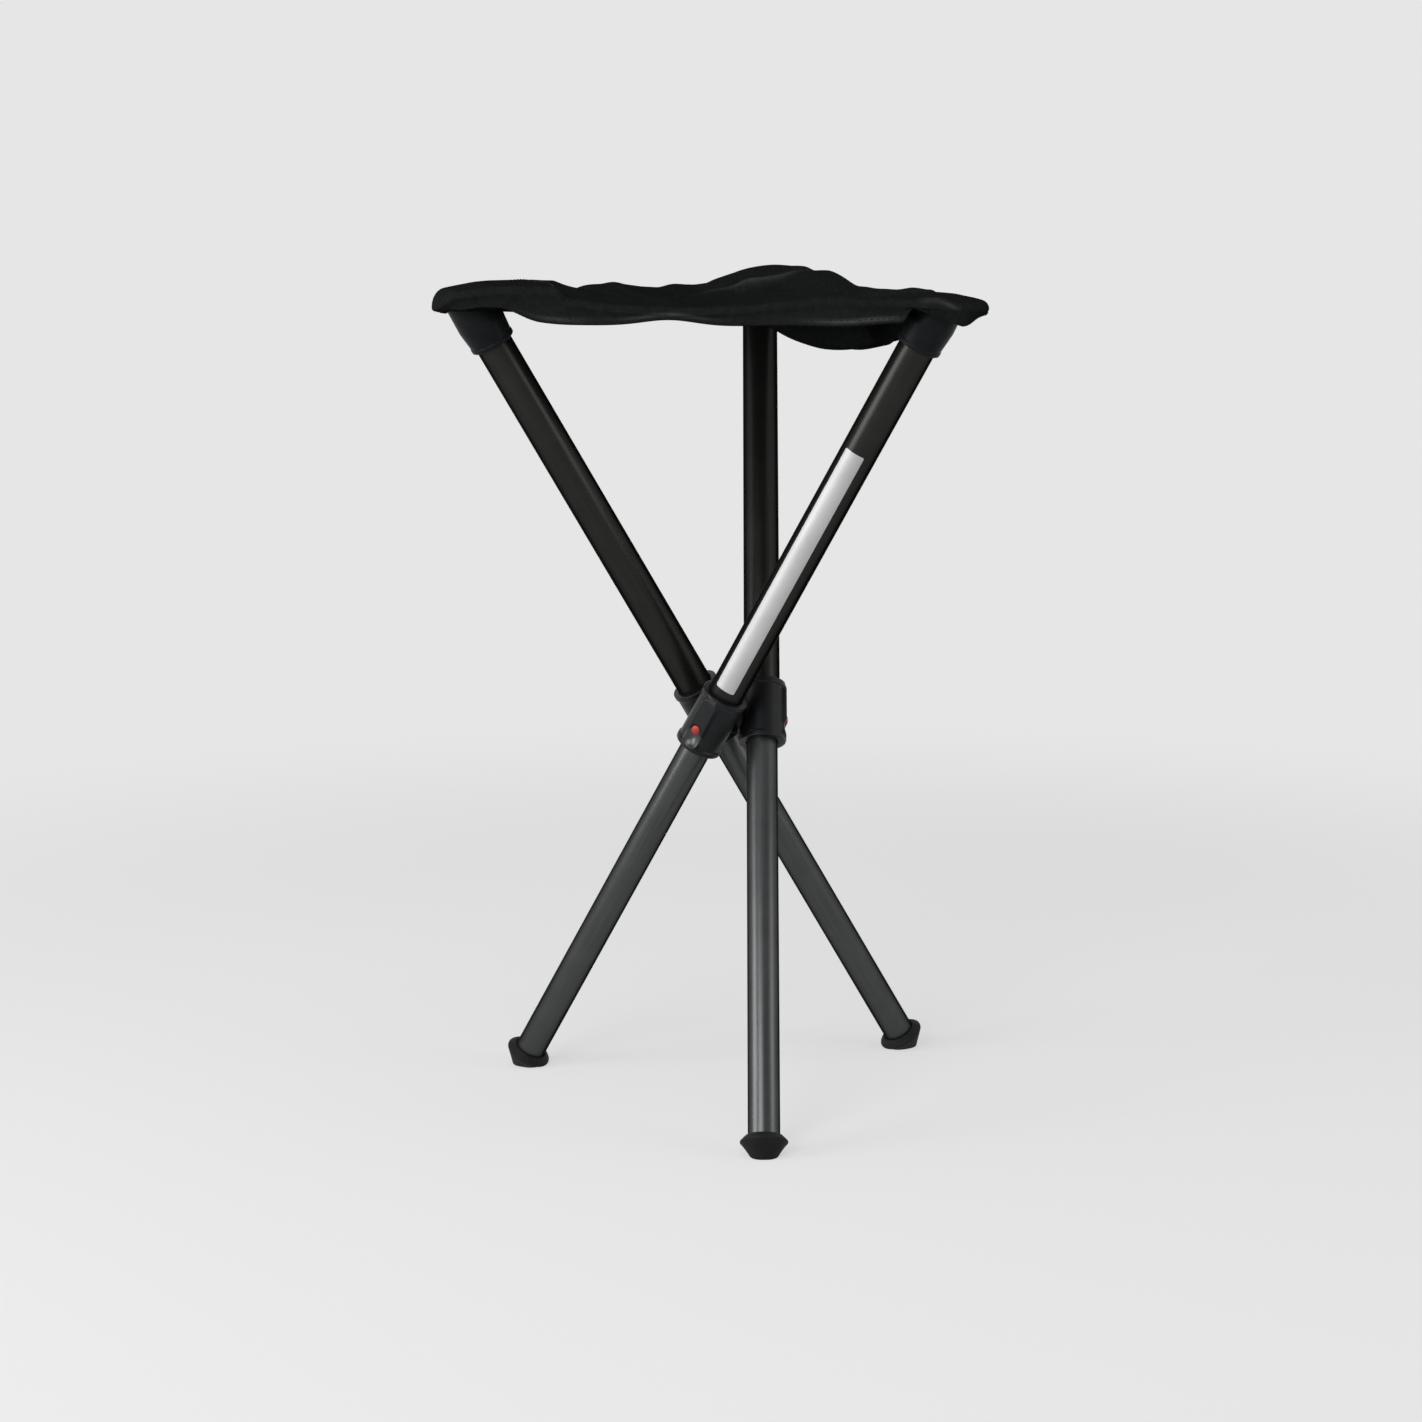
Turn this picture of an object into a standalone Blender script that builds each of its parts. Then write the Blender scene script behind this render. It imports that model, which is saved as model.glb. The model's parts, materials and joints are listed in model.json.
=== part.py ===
"""Telescopic tripod stool: three two-stage tubular legs that cross at a three-way hub, under a slack cloth seat.

Metres, +Z up. The stool stands open with its legs locked at full length, and its origin is on the floor,
under the middle of its box. Leg pieces are modelled once in leg coordinates: Z runs up the leg's axis, X points
away from the hub along the leg's hinge pin, and the hinge pin's axis crosses the leg's axis at the origin.
"""

import math

import bmesh
import bpy
import numpy as np
from mathutils import Matrix

# Stance
LEGS = ("a", "b", "c")
LEAN = math.radians(31.4)
HUB_HEIGHT = 0.234
SEAT_HEIGHT = 0.500
FIT_GAP = 0.0003

# Tubes: the lower one slides inside the upper one
UPPER_R = 0.011
UPPER_WALL = 0.0009
SLIDE_GAP = 0.0006
LOWER_WALL = 0.0012
LOWER_ABOVE_PIVOT = 0.046
BUSH_HEAD = 0.006
BUSH_PLUG = 0.014
BUSH_WALL = 0.0035

# Hub core and hinge pins
HUB_FLAT = 0.0057
HUB_CORNER_REACH = 0.0038
HUB_HALF_HEIGHT = 0.0085
HUB_CHAMFER = 0.0012
HINGE_WALL = 0.0037
HINGE_BOSS_R = 0.009
PIN_R = 0.0025
PIN_HEAD_R = 0.005
PIN_HEAD = 0.0015
PIN_TIP_WALL = 0.0007

# Joint sleeve on each leg, with the lock button in its outer pad
SLEEVE_ABOVE = 0.022
SLEEVE_BELOW = 0.0165
SLEEVE_WALL = 0.0024
SLEEVE_LIP_RISE = 0.0008
SLEEVE_LIP_LENGTH = 0.0035
SLEEVE_EDGE = 0.0007
UPPER_TUBE_DROP = 0.009
PAD_RISE = 0.0016
PAD_WIDTH = 0.0125
PAD_ABOVE = 0.0195
PAD_BELOW = 0.0145
PAD_CORNER = 0.004
PAD_EDGE = 0.0006
SCOOP_R = 0.0075
SCOOP_DEPTH = 0.0020
SCOOP_DROP = 0.0085

# Lock: a red button pushes a sprung steel pin out of the upper tube's hole
BUTTON_DROP = 0.002
BUTTON_R = 0.0031
BUTTON_FLANGE_R = 0.0042
BUTTON_LEDGE = 0.0013
BUTTON_TRAVEL = 0.0013
BUTTON_PROUD = 0.0010
BUTTON_STEM_R = 0.0022
LOCK_PIN_R = 0.0025
LOCK_PIN_SHY = 0.00015
SPRING_WIDTH = 0.007
SPRING_STRIP = 0.0007
SPRING_ABOVE = 0.008
SPRING_BELOW = 0.030
SPRING_BEND_R = 0.003

# Top fitting on each upper tube
COLLAR_WALL = 0.0020
COLLAR_TAPER = 0.0003
COLLAR_LENGTH = 0.021
COLLAR_EDGE = 0.0007
SPIGOT_LENGTH = 0.009
HEAD_PLATE = 0.006
HEAD_EDGE = 0.0012
HEAD_IN = 0.017
TUBE_COVER = 0.0008

# Cloth seat and the pocket sewn under each corner
CLOTH = 0.0022
POCKET_TOP = 0.0015
POCKET_WALL = 0.0029
POCKET_IN = 0.025
POCKET_EDGE = 0.003
EAR_REACH = 0.006
HEM_DROP = 0.0185
HEM_HANG = 0.0028
HEM_ROUND = 0.005
HEM_FLARE = 0.0018
HEM_WAVE = 0.0016
HEM_WAVES = 2
EDGE_BOW = 0.006
FLAT_MARGIN = 0.003
EASE_A = 0.022
EASE_B = 0.040
EASE_C = 0.028
BACK_LEFT_SAG = 0.0095
FRONT_SAG = 0.0105
BACK_RIGHT_SAG = 0.0095
CENTRE_SAG = 0.018
BELLY_DEPTH = 0.0232
BELLY_LENGTH = 0.060
BELLY_WIDTH = 0.046
BELLY_X = 0.094
BELLY_Y = -0.042

# Shares of an edge's length between which its sag starts and is full, and starts to end and is gone
BACK_LEFT_SPAN = (0.02, 0.15, 0.25, 0.62)
FRONT_SPAN = (0.0, 0.50, 0.50, 1.0)
BACK_RIGHT_SPAN = (0.05, 0.50, 0.60, 0.82)

# Rubber feet
FOOT_R = 0.0142
FOOT_EDGE = 0.0004
FOOT_BEVEL = 0.0025
FOOT_LIP_WALL = 0.0011
FOOT_LIP = 0.0015
FOOT_PLUG = 0.018
FOOT_PLUG_CHAMFER = 0.001
SOLE_LENGTH = 0.020
SOLE_WIDTH = 0.018
SOLE_INWARD = 0.005
SOLE_SQUARENESS = 2.6

# Facets
TUBE_SIDES = 32
RING_SIDES = 28
PIN_SIDES = 16
SEAT_ARC_POINTS = 8
SEAT_EDGE_POINTS = 9
SEAT_MIDDLE_RINGS = 6
SEAT_RING_CROWDING = 0.6
SEAT_CORNER_RINGS = 3

# Sizes that follow from those above
SIN, COS = math.sin(LEAN), math.cos(LEAN)
LOWER_R = UPPER_R - UPPER_WALL - SLIDE_GAP
PIN_HOLE_END = (PIN_R + FIT_GAP) / math.sqrt(3) + PIN_TIP_WALL
SLEEVE_BORE_R = UPPER_R + FIT_GAP
SLEEVE_R = SLEEVE_BORE_R + SLEEVE_WALL
HINGE_FACE = HUB_FLAT + FIT_GAP
LEG_OFFSET = HINGE_FACE + HINGE_WALL + SLEEVE_BORE_R
PAD_FACE = SLEEVE_R + PAD_RISE
LOCK_HOLE_R = LOCK_PIN_R + FIT_GAP
LOCK_PIN_TIP = UPPER_R - LOCK_PIN_SHY
LOWER_BORE_R = LOWER_R - LOWER_WALL
COLLAR_R = SLEEVE_BORE_R + COLLAR_WALL
SEAT_CORNER_R = COLLAR_R + FIT_GAP + POCKET_WALL + FIT_GAP + CLOTH
POCKET_TOP_Z = SEAT_HEIGHT - CLOTH - FIT_GAP
HEAD_TOP_Z = POCKET_TOP_Z - POCKET_TOP - FIT_GAP
HEAD_LOW_Z = HEAD_TOP_Z - HEAD_PLATE
HEM_LOW_Z = SEAT_HEIGHT - HEM_DROP
UPPER_TOP = (HEAD_LOW_Z - TUBE_COVER - HUB_HEIGHT - UPPER_R * SIN) / COS
FOOT_FLANGE = (FOOT_EDGE + FOOT_R * SIN - HUB_HEIGHT) / COS
LOWER_END = FOOT_FLANGE + FOOT_BEVEL
CORNER_Y = (HEAD_TOP_Z - HUB_HEIGHT) * SIN / COS + EAR_REACH
FLAT_HALF_WIDTH = SEAT_CORNER_R - CLOTH - FIT_GAP + FLAT_MARGIN
FLAT_LENGTH = POCKET_IN + FLAT_MARGIN
CORNER_REACH = math.hypot(LEG_OFFSET, CORNER_Y)
FLAT_RING = (CORNER_REACH - EAR_REACH - FLAT_LENGTH) / (CORNER_REACH + SEAT_CORNER_R - HEM_ROUND)

# Modelling helpers


def linked(name, mesh):
    obj = bpy.data.objects.new(name, mesh)
    bpy.context.scene.collection.objects.link(obj)
    return obj


def loft(name, rings):
    """A solid skinned through rings of equally many points, with a flat face across each end ring."""
    bm = bmesh.new()
    loops = [[bm.verts.new(point) for point in ring] for ring in rings]
    for low, high in zip(loops, loops[1:]):
        for i in range(len(low)):
            j = (i + 1) % len(low)
            bm.faces.new((low[i], low[j], high[j], high[i]))
    bm.faces.new(loops[0][::-1])
    bm.faces.new(loops[-1])
    bmesh.ops.recalc_face_normals(bm, faces=bm.faces)
    mesh = bpy.data.meshes.new(name)
    bm.to_mesh(mesh)
    bm.free()
    return linked(name, mesh)


def turned(name, profile, sides):
    """A profile of (radius, height) points spun about Z: open from axis to axis, or a closed ring section."""
    count = len(profile)
    edges = [(i, i + 1) for i in range(count - 1)]
    if profile[0][0] > 0.0:
        edges.append((count - 1, 0))
    mesh = bpy.data.meshes.new(name)
    mesh.from_pydata([(radius, 0.0, height) for radius, height in profile], edges, [])
    obj = linked(name, mesh)
    screw = obj.modifiers.new("Turn", "SCREW")
    screw.steps = sides
    screw.render_steps = sides
    screw.use_merge_vertices = True
    screw.merge_threshold = 0.00001
    return obj


def rod(name, radius, low, high, sides, edge=0.0):
    """A solid round rod along Z, with an optional chamfer at its high end."""
    tip = [(radius - edge, high), (radius, high - edge)] if edge else [(radius, high)]
    return turned(name, [(0.0, high), *tip, (radius, low), (0.0, low)], sides)


def along_x(obj, height=0.0):
    """Lays a turned shape's axis along X, crossing the leg's axis at this height."""
    obj.rotation_euler = (0.0, math.pi / 2, 0.0)
    obj.location = (0.0, 0.0, height)
    return obj


def baked(body, joined=(), cut=()):
    """The mesh of a body after other solids are joined to it and cut from it. The solids are used up."""
    for operation, tools in (("UNION", joined), ("DIFFERENCE", cut)):
        for tool in tools:
            boolean = body.modifiers.new(tool.name, "BOOLEAN")
            boolean.operation = operation
            boolean.solver = "EXACT"
            boolean.object = tool
    bpy.context.view_layer.update()
    graph = bpy.context.evaluated_depsgraph_get()
    mesh = bpy.data.meshes.new_from_object(body.evaluated_get(graph), depsgraph=graph)
    mesh.transform(body.matrix_world)
    for used in (body, *joined, *cut):
        bpy.data.objects.remove(used)
    return mesh


def finish(name, colour, roughness, metallic):
    material = bpy.data.materials.new(name)
    material.use_nodes = True
    shader = material.node_tree.nodes["Principled BSDF"]
    shader.inputs["Base Color"].default_value = (*colour, 1.0)
    shader.inputs["Roughness"].default_value = roughness
    shader.inputs["Metallic"].default_value = metallic
    return material


def piece(name, mesh, material, parent):
    """One named piece of the stool, carried by its parent."""
    mesh.materials.clear()
    mesh.materials.append(material)
    mesh.shade_smooth()
    mesh.set_sharp_from_angle(angle=math.radians(35))
    obj = linked(name, mesh)
    obj.parent = parent
    return obj


def empty(name, parent=None, location=(0.0, 0.0, 0.0), rotation=(0.0, 0.0, 0.0)):
    obj = linked(name, None)
    obj.parent = parent
    obj.location = location
    obj.rotation_euler = rotation
    return obj


def circle(radius, height, sides=RING_SIDES):
    turn = np.linspace(0.0, 2 * math.pi, sides, endpoint=False)
    return np.stack([radius * np.cos(turn), radius * np.sin(turn), np.full(sides, height)], axis=1)


def into_leg(points):
    """Leg coordinates of points given upright: X as in the leg, Y outwards over the seat corner, Z as height."""
    across, out, up = np.asarray(points, float).T
    up = up - HUB_HEIGHT
    return np.stack([across, out * COS - up * SIN, out * SIN + up * COS], axis=1)


def egg(half_width, middle, reach_out, reach_in, height, sides=RING_SIDES):
    """An upright horizontal outline of two half ellipses, longer one way than the other, in leg coordinates."""
    turn = np.linspace(0.0, 2 * math.pi, sides, endpoint=False)
    reach = np.where(np.sin(turn) > 0, reach_out, reach_in)
    out = middle + reach * np.sin(turn)
    return into_leg(np.stack([half_width * np.cos(turn), out, np.full(sides, height)], axis=1))


# Hub: a three-sided core with a hinge pin in each flat


def hub_core_mesh():
    corner_r = HUB_FLAT + HUB_CORNER_REACH
    half_flat = math.acos(HUB_FLAT / corner_r)
    arc = np.linspace(half_flat, 2 * math.pi / 3 - half_flat, 4)
    turn = np.concatenate([arc + 2 * math.pi * leg / 3 for leg in range(3)])
    outline = corner_r * np.stack([np.cos(turn), np.sin(turn)], axis=1)

    def level(height, inset):
        shrunk = outline * (1 - inset / corner_r)
        return np.column_stack([shrunk, np.full(len(shrunk), height)])

    body = loft(
        "hub_body",
        [
            level(-HUB_HALF_HEIGHT, HUB_CHAMFER),
            level(HUB_CHAMFER - HUB_HALF_HEIGHT, 0.0),
            level(HUB_HALF_HEIGHT - HUB_CHAMFER, 0.0),
            level(HUB_HALF_HEIGHT, HUB_CHAMFER),
        ],
    )
    holes = []
    for leg in range(3):
        hole = rod("pin_hole", PIN_R + FIT_GAP, PIN_HOLE_END, corner_r + FIT_GAP, PIN_SIDES)
        hole.rotation_euler = (0.0, math.pi / 2, 2 * math.pi * leg / 3)
        holes.append(hole)
    return baked(body, cut=holes)


def pivot_pin_mesh():
    """A flat-headed pin along X from the hub core to its head, which lies in the sleeve's wall behind the tube."""
    head_top = LEG_OFFSET - SLEEVE_BORE_R
    return baked(
        along_x(
            turned(
                "pin_blank",
                [
                    (0.0, head_top),
                    (PIN_HEAD_R, head_top),
                    (PIN_HEAD_R, head_top - PIN_HEAD),
                    (PIN_R, head_top - PIN_HEAD),
                    (PIN_R, PIN_HOLE_END + FIT_GAP),
                    (0.0, PIN_HOLE_END + FIT_GAP),
                ],
                PIN_SIDES,
            )
        )
    )


# Joint sleeve: the moulded housing that turns on the hub, holds the upper tube and guides the lower one


def sleeve_barrel():
    lip = SLEEVE_R + SLEEVE_LIP_RISE
    step = SLEEVE_LIP_LENGTH
    return turned(
        "sleeve_barrel",
        [
            (0.0, SLEEVE_ABOVE),
            (lip - SLEEVE_EDGE, SLEEVE_ABOVE),
            (lip, SLEEVE_ABOVE - SLEEVE_EDGE),
            (lip, SLEEVE_ABOVE - step),
            (SLEEVE_R, SLEEVE_ABOVE - step - SLEEVE_LIP_RISE),
            (SLEEVE_R, step + SLEEVE_LIP_RISE - SLEEVE_BELOW),
            (lip, step - SLEEVE_BELOW),
            (lip, SLEEVE_EDGE - SLEEVE_BELOW),
            (lip - SLEEVE_EDGE, -SLEEVE_BELOW),
            (0.0, -SLEEVE_BELOW),
        ],
        TUBE_SIDES,
    )


def button_pad():
    """The raised pad round the button: a rounded rectangle, pushed out along X and softened at its face."""
    half_width = PAD_WIDTH / 2
    middle = (PAD_ABOVE - PAD_BELOW) / 2
    half_height = (PAD_ABOVE + PAD_BELOW) / 2
    quarter = np.linspace(0.0, math.pi / 2, 4)
    turn = np.concatenate([quarter + quadrant * math.pi / 2 for quadrant in range(4)])
    side_centre = np.repeat((1, -1, -1, 1), len(quarter)) * (half_width - PAD_CORNER)
    rise_centre = np.repeat((1, 1, -1, -1), len(quarter)) * (half_height - PAD_CORNER) + middle

    def level(out, inset):
        corner = PAD_CORNER - inset
        side = side_centre + corner * np.cos(turn)
        rise = rise_centre + corner * np.sin(turn)
        return np.column_stack([np.full(len(turn), out), side, rise])

    return loft(
        "button_pad",
        [level(LOWER_R, 0.0), level(PAD_FACE - PAD_EDGE, 0.0), level(PAD_FACE, PAD_EDGE)],
    )


def joint_sleeve_mesh():
    inner_face = LEG_OFFSET - HINGE_FACE
    boss = rod("hinge_boss", HINGE_BOSS_R, LOWER_R, inner_face, RING_SIDES, SLEEVE_EDGE / 2)
    boss.rotation_euler = (0.0, -math.pi / 2, 0.0)
    bore = turned(
        "tube_bore",
        [
            (0.0, SLEEVE_ABOVE + PAD_EDGE),
            (SLEEVE_BORE_R, SLEEVE_ABOVE + PAD_EDGE),
            (SLEEVE_BORE_R, -UPPER_TUBE_DROP - FIT_GAP),
            (LOWER_R + FIT_GAP, -UPPER_TUBE_DROP - FIT_GAP),
            (LOWER_R + FIT_GAP, -SLEEVE_BELOW - PAD_EDGE),
            (0.0, -SLEEVE_BELOW - PAD_EDGE),
        ],
        TUBE_SIDES,
    )
    head_floor = SLEEVE_BORE_R + PIN_HEAD + FIT_GAP
    pin_hole = turned(
        "pin_hole",
        [
            (0.0, inner_face + PAD_EDGE),
            (PIN_R + FIT_GAP, inner_face + PAD_EDGE),
            (PIN_R + FIT_GAP, head_floor),
            (PIN_HEAD_R + FIT_GAP, head_floor),
            (PIN_HEAD_R + FIT_GAP, LOWER_R - PIN_HEAD),
            (0.0, LOWER_R - PIN_HEAD),
        ],
        PIN_SIDES,
    )
    pin_hole.rotation_euler = (0.0, -math.pi / 2, 0.0)
    ledge = PAD_FACE - BUTTON_LEDGE
    button_hole = turned(
        "button_hole",
        [
            (0.0, PAD_FACE + BUTTON_PROUD),
            (BUTTON_R + FIT_GAP, PAD_FACE + BUTTON_PROUD),
            (BUTTON_R + FIT_GAP, ledge),
            (BUTTON_FLANGE_R + FIT_GAP, ledge),
            (BUTTON_FLANGE_R + FIT_GAP, LOWER_R - BUTTON_LEDGE),
            (0.0, LOWER_R - BUTTON_LEDGE),
        ],
        PIN_SIDES,
    )
    fall = np.linspace(0.0, math.pi, 9)
    scoop = turned(
        "finger_scoop",
        [(0.0, SCOOP_R)]
        + [(SCOOP_R * math.sin(a), SCOOP_R * math.cos(a)) for a in fall[1:-1]]
        + [(0.0, -SCOOP_R)],
        PIN_SIDES,
    )
    scoop.location = (PAD_FACE + SCOOP_R - SCOOP_DEPTH, 0.0, -SCOOP_DROP)
    return baked(
        sleeve_barrel(),
        joined=(button_pad(), boss),
        cut=(bore, pin_hole, along_x(button_hole, -BUTTON_DROP), scoop),
    )


# Tubes, bush, lock and foot of each leg


def lock_hole(name):
    return along_x(rod(name, LOCK_HOLE_R, LOWER_BORE_R / 2, SLEEVE_R, PIN_SIDES), -BUTTON_DROP)


def tube_mesh(name, outer_r, wall, low, high):
    section = [(outer_r, high), (outer_r, low), (outer_r - wall, low), (outer_r - wall, high)]
    return baked(turned(name, section, TUBE_SIDES), cut=(lock_hole("lock_hole"),))


def guide_bush_mesh():
    """A plastic ring that closes the lower tube's top and runs in the upper tube's bore."""
    head_r = UPPER_R - UPPER_WALL - FIT_GAP
    plug_r = LOWER_BORE_R - FIT_GAP
    bore_r = plug_r - BUSH_WALL
    shoulder = LOWER_ABOVE_PIVOT + FIT_GAP
    top = shoulder + BUSH_HEAD
    section = [
        (head_r - SLEEVE_EDGE, top),
        (head_r, top - SLEEVE_EDGE),
        (head_r, shoulder),
        (plug_r, shoulder),
        (plug_r, shoulder - BUSH_PLUG),
        (bore_r, shoulder - BUSH_PLUG),
        (bore_r, top),
    ]
    return baked(turned("bush_blank", section, RING_SIDES))


def lock_spring_mesh():
    """A flat spring bent to a V inside the lower tube, with the lock pin set in its outer arm."""
    half_strip = SPRING_STRIP / 2
    reach = math.sqrt((LOWER_BORE_R - FIT_GAP) ** 2 - (SPRING_WIDTH / 2) ** 2) - half_strip
    bend = np.linspace(0.0, math.pi, 8)
    path = np.vstack(
        [
            [reach, SPRING_ABOVE],
            np.stack([SPRING_BEND_R * np.cos(bend), -SPRING_BELOW - SPRING_BEND_R * np.sin(bend)], axis=1),
            [-reach, SPRING_ABOVE],
        ]
    )
    along = np.gradient(path, axis=0)
    along /= np.linalg.norm(along, axis=1, keepdims=True)
    side = half_strip * np.stack([-along[:, 1], along[:, 0]], axis=1)
    outline = np.vstack([path + side, (path - side)[::-1]])

    def level(across):
        return np.column_stack([outline[:, 0], np.full(len(outline), across), outline[:, 1]])

    strip = loft("spring_strip", [level(-SPRING_WIDTH / 2), level(SPRING_WIDTH / 2)])
    share = (SPRING_BELOW - BUTTON_DROP) / (SPRING_BELOW + SPRING_ABOVE)
    root = SPRING_BEND_R + share * (reach - SPRING_BEND_R)
    pin = rod("lock_pin", LOCK_PIN_R, root - half_strip, LOCK_PIN_TIP, PIN_SIDES, SPRING_STRIP)
    return baked(strip, joined=(along_x(pin, -BUTTON_DROP),))


def lock_button_mesh():
    """A turned button along X: domed red head, flange behind the pad's ledge, and a stem to the lock pin."""
    flange_out = PAD_FACE - BUTTON_LEDGE - FIT_GAP
    flange_in = SLEEVE_BORE_R + BUTTON_TRAVEL
    top = PAD_FACE + BUTTON_PROUD
    rise = np.linspace(0.0, math.pi / 2, 5)[1:]
    dome = [(BUTTON_R * math.sin(a), top - BUTTON_PROUD * (1 - math.cos(a))) for a in rise]
    profile = [
        (0.0, top),
        *dome,
        (BUTTON_R, flange_out),
        (BUTTON_FLANGE_R, flange_out),
        (BUTTON_FLANGE_R, flange_in),
        (BUTTON_STEM_R, flange_in),
        (BUTTON_STEM_R, LOCK_PIN_TIP + FIT_GAP),
        (0.0, LOCK_PIN_TIP + FIT_GAP),
    ]
    return baked(along_x(turned("button_blank", profile, PIN_SIDES)))


def foot_mesh():
    """A rubber foot: a plug in the tube, a lip round it, a wide flange, and a nose cut flat at the floor."""
    plug_r = LOWER_BORE_R - FIT_GAP
    seat = LOWER_END - FIT_GAP
    socket_r = LOWER_R + FIT_GAP
    turn = np.linspace(0.0, 2 * math.pi, RING_SIDES, endpoint=False)
    power = 2 / SOLE_SQUARENESS
    side = SOLE_WIDTH / 2 * np.sign(np.cos(turn)) * np.abs(np.cos(turn)) ** power
    in_out = SOLE_INWARD + SOLE_LENGTH / 2 * np.sign(np.sin(turn)) * np.abs(np.sin(turn)) ** power
    under_leg = -HUB_HEIGHT * SIN / COS
    sole = into_leg(np.stack([side, under_leg + in_out, np.zeros(RING_SIDES)], axis=1))
    rings = [
        circle(plug_r - FOOT_PLUG_CHAMFER, seat + FOOT_PLUG),
        circle(plug_r, seat + FOOT_PLUG - FOOT_PLUG_CHAMFER),
        circle(plug_r, seat),
        circle(socket_r, seat),
        circle(socket_r, LOWER_END + FOOT_LIP),
        circle(socket_r + FOOT_LIP_WALL, LOWER_END + FOOT_LIP),
        circle(FOOT_R - FOOT_EDGE, FOOT_FLANGE + FOOT_EDGE),
        circle(FOOT_R, FOOT_FLANGE),
        sole,
    ]
    return baked(loft("foot_blank", rings))


# Top fitting, and the cloth pocket that takes its head


def head_rings(grow):
    """The fitting's outside from its collar's rim to its head's flat top, grown all round by a clearance."""
    rim = UPPER_TOP - COLLAR_LENGTH
    axis_low = (HEAD_LOW_Z - HUB_HEIGHT) * SIN / COS
    axis_top = (HEAD_TOP_Z - HUB_HEIGHT) * SIN / COS
    half_width = SEAT_CORNER_R - CLOTH - POCKET_WALL - 2 * FIT_GAP + grow
    reach_out = EAR_REACH + half_width
    reach_in = HEAD_IN + grow
    low_r = COLLAR_R - COLLAR_TAPER + grow
    return [
        circle(low_r - COLLAR_EDGE, rim - grow),
        circle(low_r, rim + COLLAR_EDGE - grow),
        circle(COLLAR_R + grow, UPPER_TOP - SPIGOT_LENGTH / 2),
        egg(half_width, axis_low, reach_out - HEAD_EDGE, reach_in, HEAD_LOW_Z),
        egg(half_width, axis_top, reach_out, reach_in, HEAD_TOP_Z - HEAD_EDGE),
        egg(half_width - HEAD_EDGE, axis_top, reach_out - HEAD_EDGE, reach_in - HEAD_EDGE, HEAD_TOP_Z + grow),
    ]


def top_fitting_mesh():
    spigot_r = UPPER_R - UPPER_WALL - FIT_GAP
    rim = UPPER_TOP - COLLAR_LENGTH
    socket = turned(
        "tube_socket",
        [
            (0.0, UPPER_TOP - SPIGOT_LENGTH),
            (spigot_r, UPPER_TOP - SPIGOT_LENGTH),
            (spigot_r, UPPER_TOP + FIT_GAP),
            (SLEEVE_BORE_R, UPPER_TOP + FIT_GAP),
            (SLEEVE_BORE_R, rim - COLLAR_EDGE),
            (0.0, rim - COLLAR_EDGE),
        ],
        TUBE_SIDES,
    )
    return baked(loft("fitting_blank", head_rings(0.0)), cut=(socket,))


def corner_pocket_mesh():
    """The pocket's outside as stacked outlines, hollowed by the fitting's head with its clearance."""
    middle = CORNER_Y - EAR_REACH
    half_width = SEAT_CORNER_R - CLOTH - FIT_GAP
    reach_out = EAR_REACH + half_width

    def level(height, inset):
        return egg(half_width - inset, middle, reach_out - inset, POCKET_IN - inset, height)

    outside = loft(
        "pocket_blank",
        [
            level(HEM_LOW_Z, POCKET_EDGE / 2),
            level(HEM_LOW_Z + POCKET_EDGE, 0.0),
            level(POCKET_TOP_Z - POCKET_EDGE, 0.0),
            level(POCKET_TOP_Z, POCKET_EDGE),
        ],
    )
    return baked(outside, cut=(loft("head_space", head_rings(FIT_GAP)),))


# Seat cloth: one sheet with turned-down hems, level over the corners and slack between them


def about_hub(points, leg):
    turn = 2 * math.pi * leg / 3
    spin = np.array([[math.cos(turn), math.sin(turn)], [-math.sin(turn), math.cos(turn)]])
    return np.asarray(points) @ spin


def smooth(value, start, end):
    """0 up to start, 1 from end, and an S-curve between them that leaves both without a bend."""
    share = np.clip((value - start) / (end - start), 0.0, 1.0)
    return share**3 * (share * (6 * share - 15) + 10)


def edge_sag(depth, span, share):
    """How far an edge hangs below its corners, at shares of its length from its first corner."""
    return depth * smooth(share, *span[:2]) * (1 - smooth(share, *span[2:]))


def seat_outline():
    """The seat's plan outline round the hub's axis: an arc about each corner, and edges bowed in between.
    Returns the points, their outward normals, how far along its edge each point is and how far it sags there."""
    corner = np.array([LEG_OFFSET, CORNER_Y])
    following = about_hub(corner, 1)
    chord = following - corner
    length = np.linalg.norm(chord)
    outward = np.array([-chord[1], chord[0]]) / -length
    bow_angle = math.atan(4 * EDGE_BOW / length)
    middle = math.atan2(*(corner[::-1]))
    half_turn = math.pi / 3 + bow_angle
    arc = np.linspace(middle - half_turn, middle + half_turn, SEAT_ARC_POINTS)
    share = (1 - np.cos(np.linspace(0.0, math.pi, SEAT_EDGE_POINTS + 2)[1:-1])) / 2
    arc_normals = np.stack([np.cos(arc), np.sin(arc)], axis=1)
    bow = EDGE_BOW * 4 * share * (1 - share)
    edge = corner + share[:, None] * chord + (SEAT_CORNER_R - bow)[:, None] * outward
    tilt = 4 * EDGE_BOW / length * (1 - 2 * share)
    edge_normals = outward + tilt[:, None] * chord / length
    edge_normals /= np.linalg.norm(edge_normals, axis=1, keepdims=True)
    points = np.vstack([corner + SEAT_CORNER_R * arc_normals, edge])
    normals = np.vstack([arc_normals, edge_normals])
    shares = np.concatenate([np.zeros(SEAT_ARC_POINTS), share])
    sags = (
        edge_sag(BACK_LEFT_SAG, BACK_LEFT_SPAN, shares),
        edge_sag(FRONT_SAG, FRONT_SPAN, shares),
        edge_sag(BACK_RIGHT_SAG, BACK_RIGHT_SPAN, shares),
    )
    return (
        np.vstack([about_hub(points, leg) for leg in range(3)]),
        np.vstack([about_hub(normals, leg) for leg in range(3)]),
        np.tile(shares, 3),
        np.concatenate(sags),
    )


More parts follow.
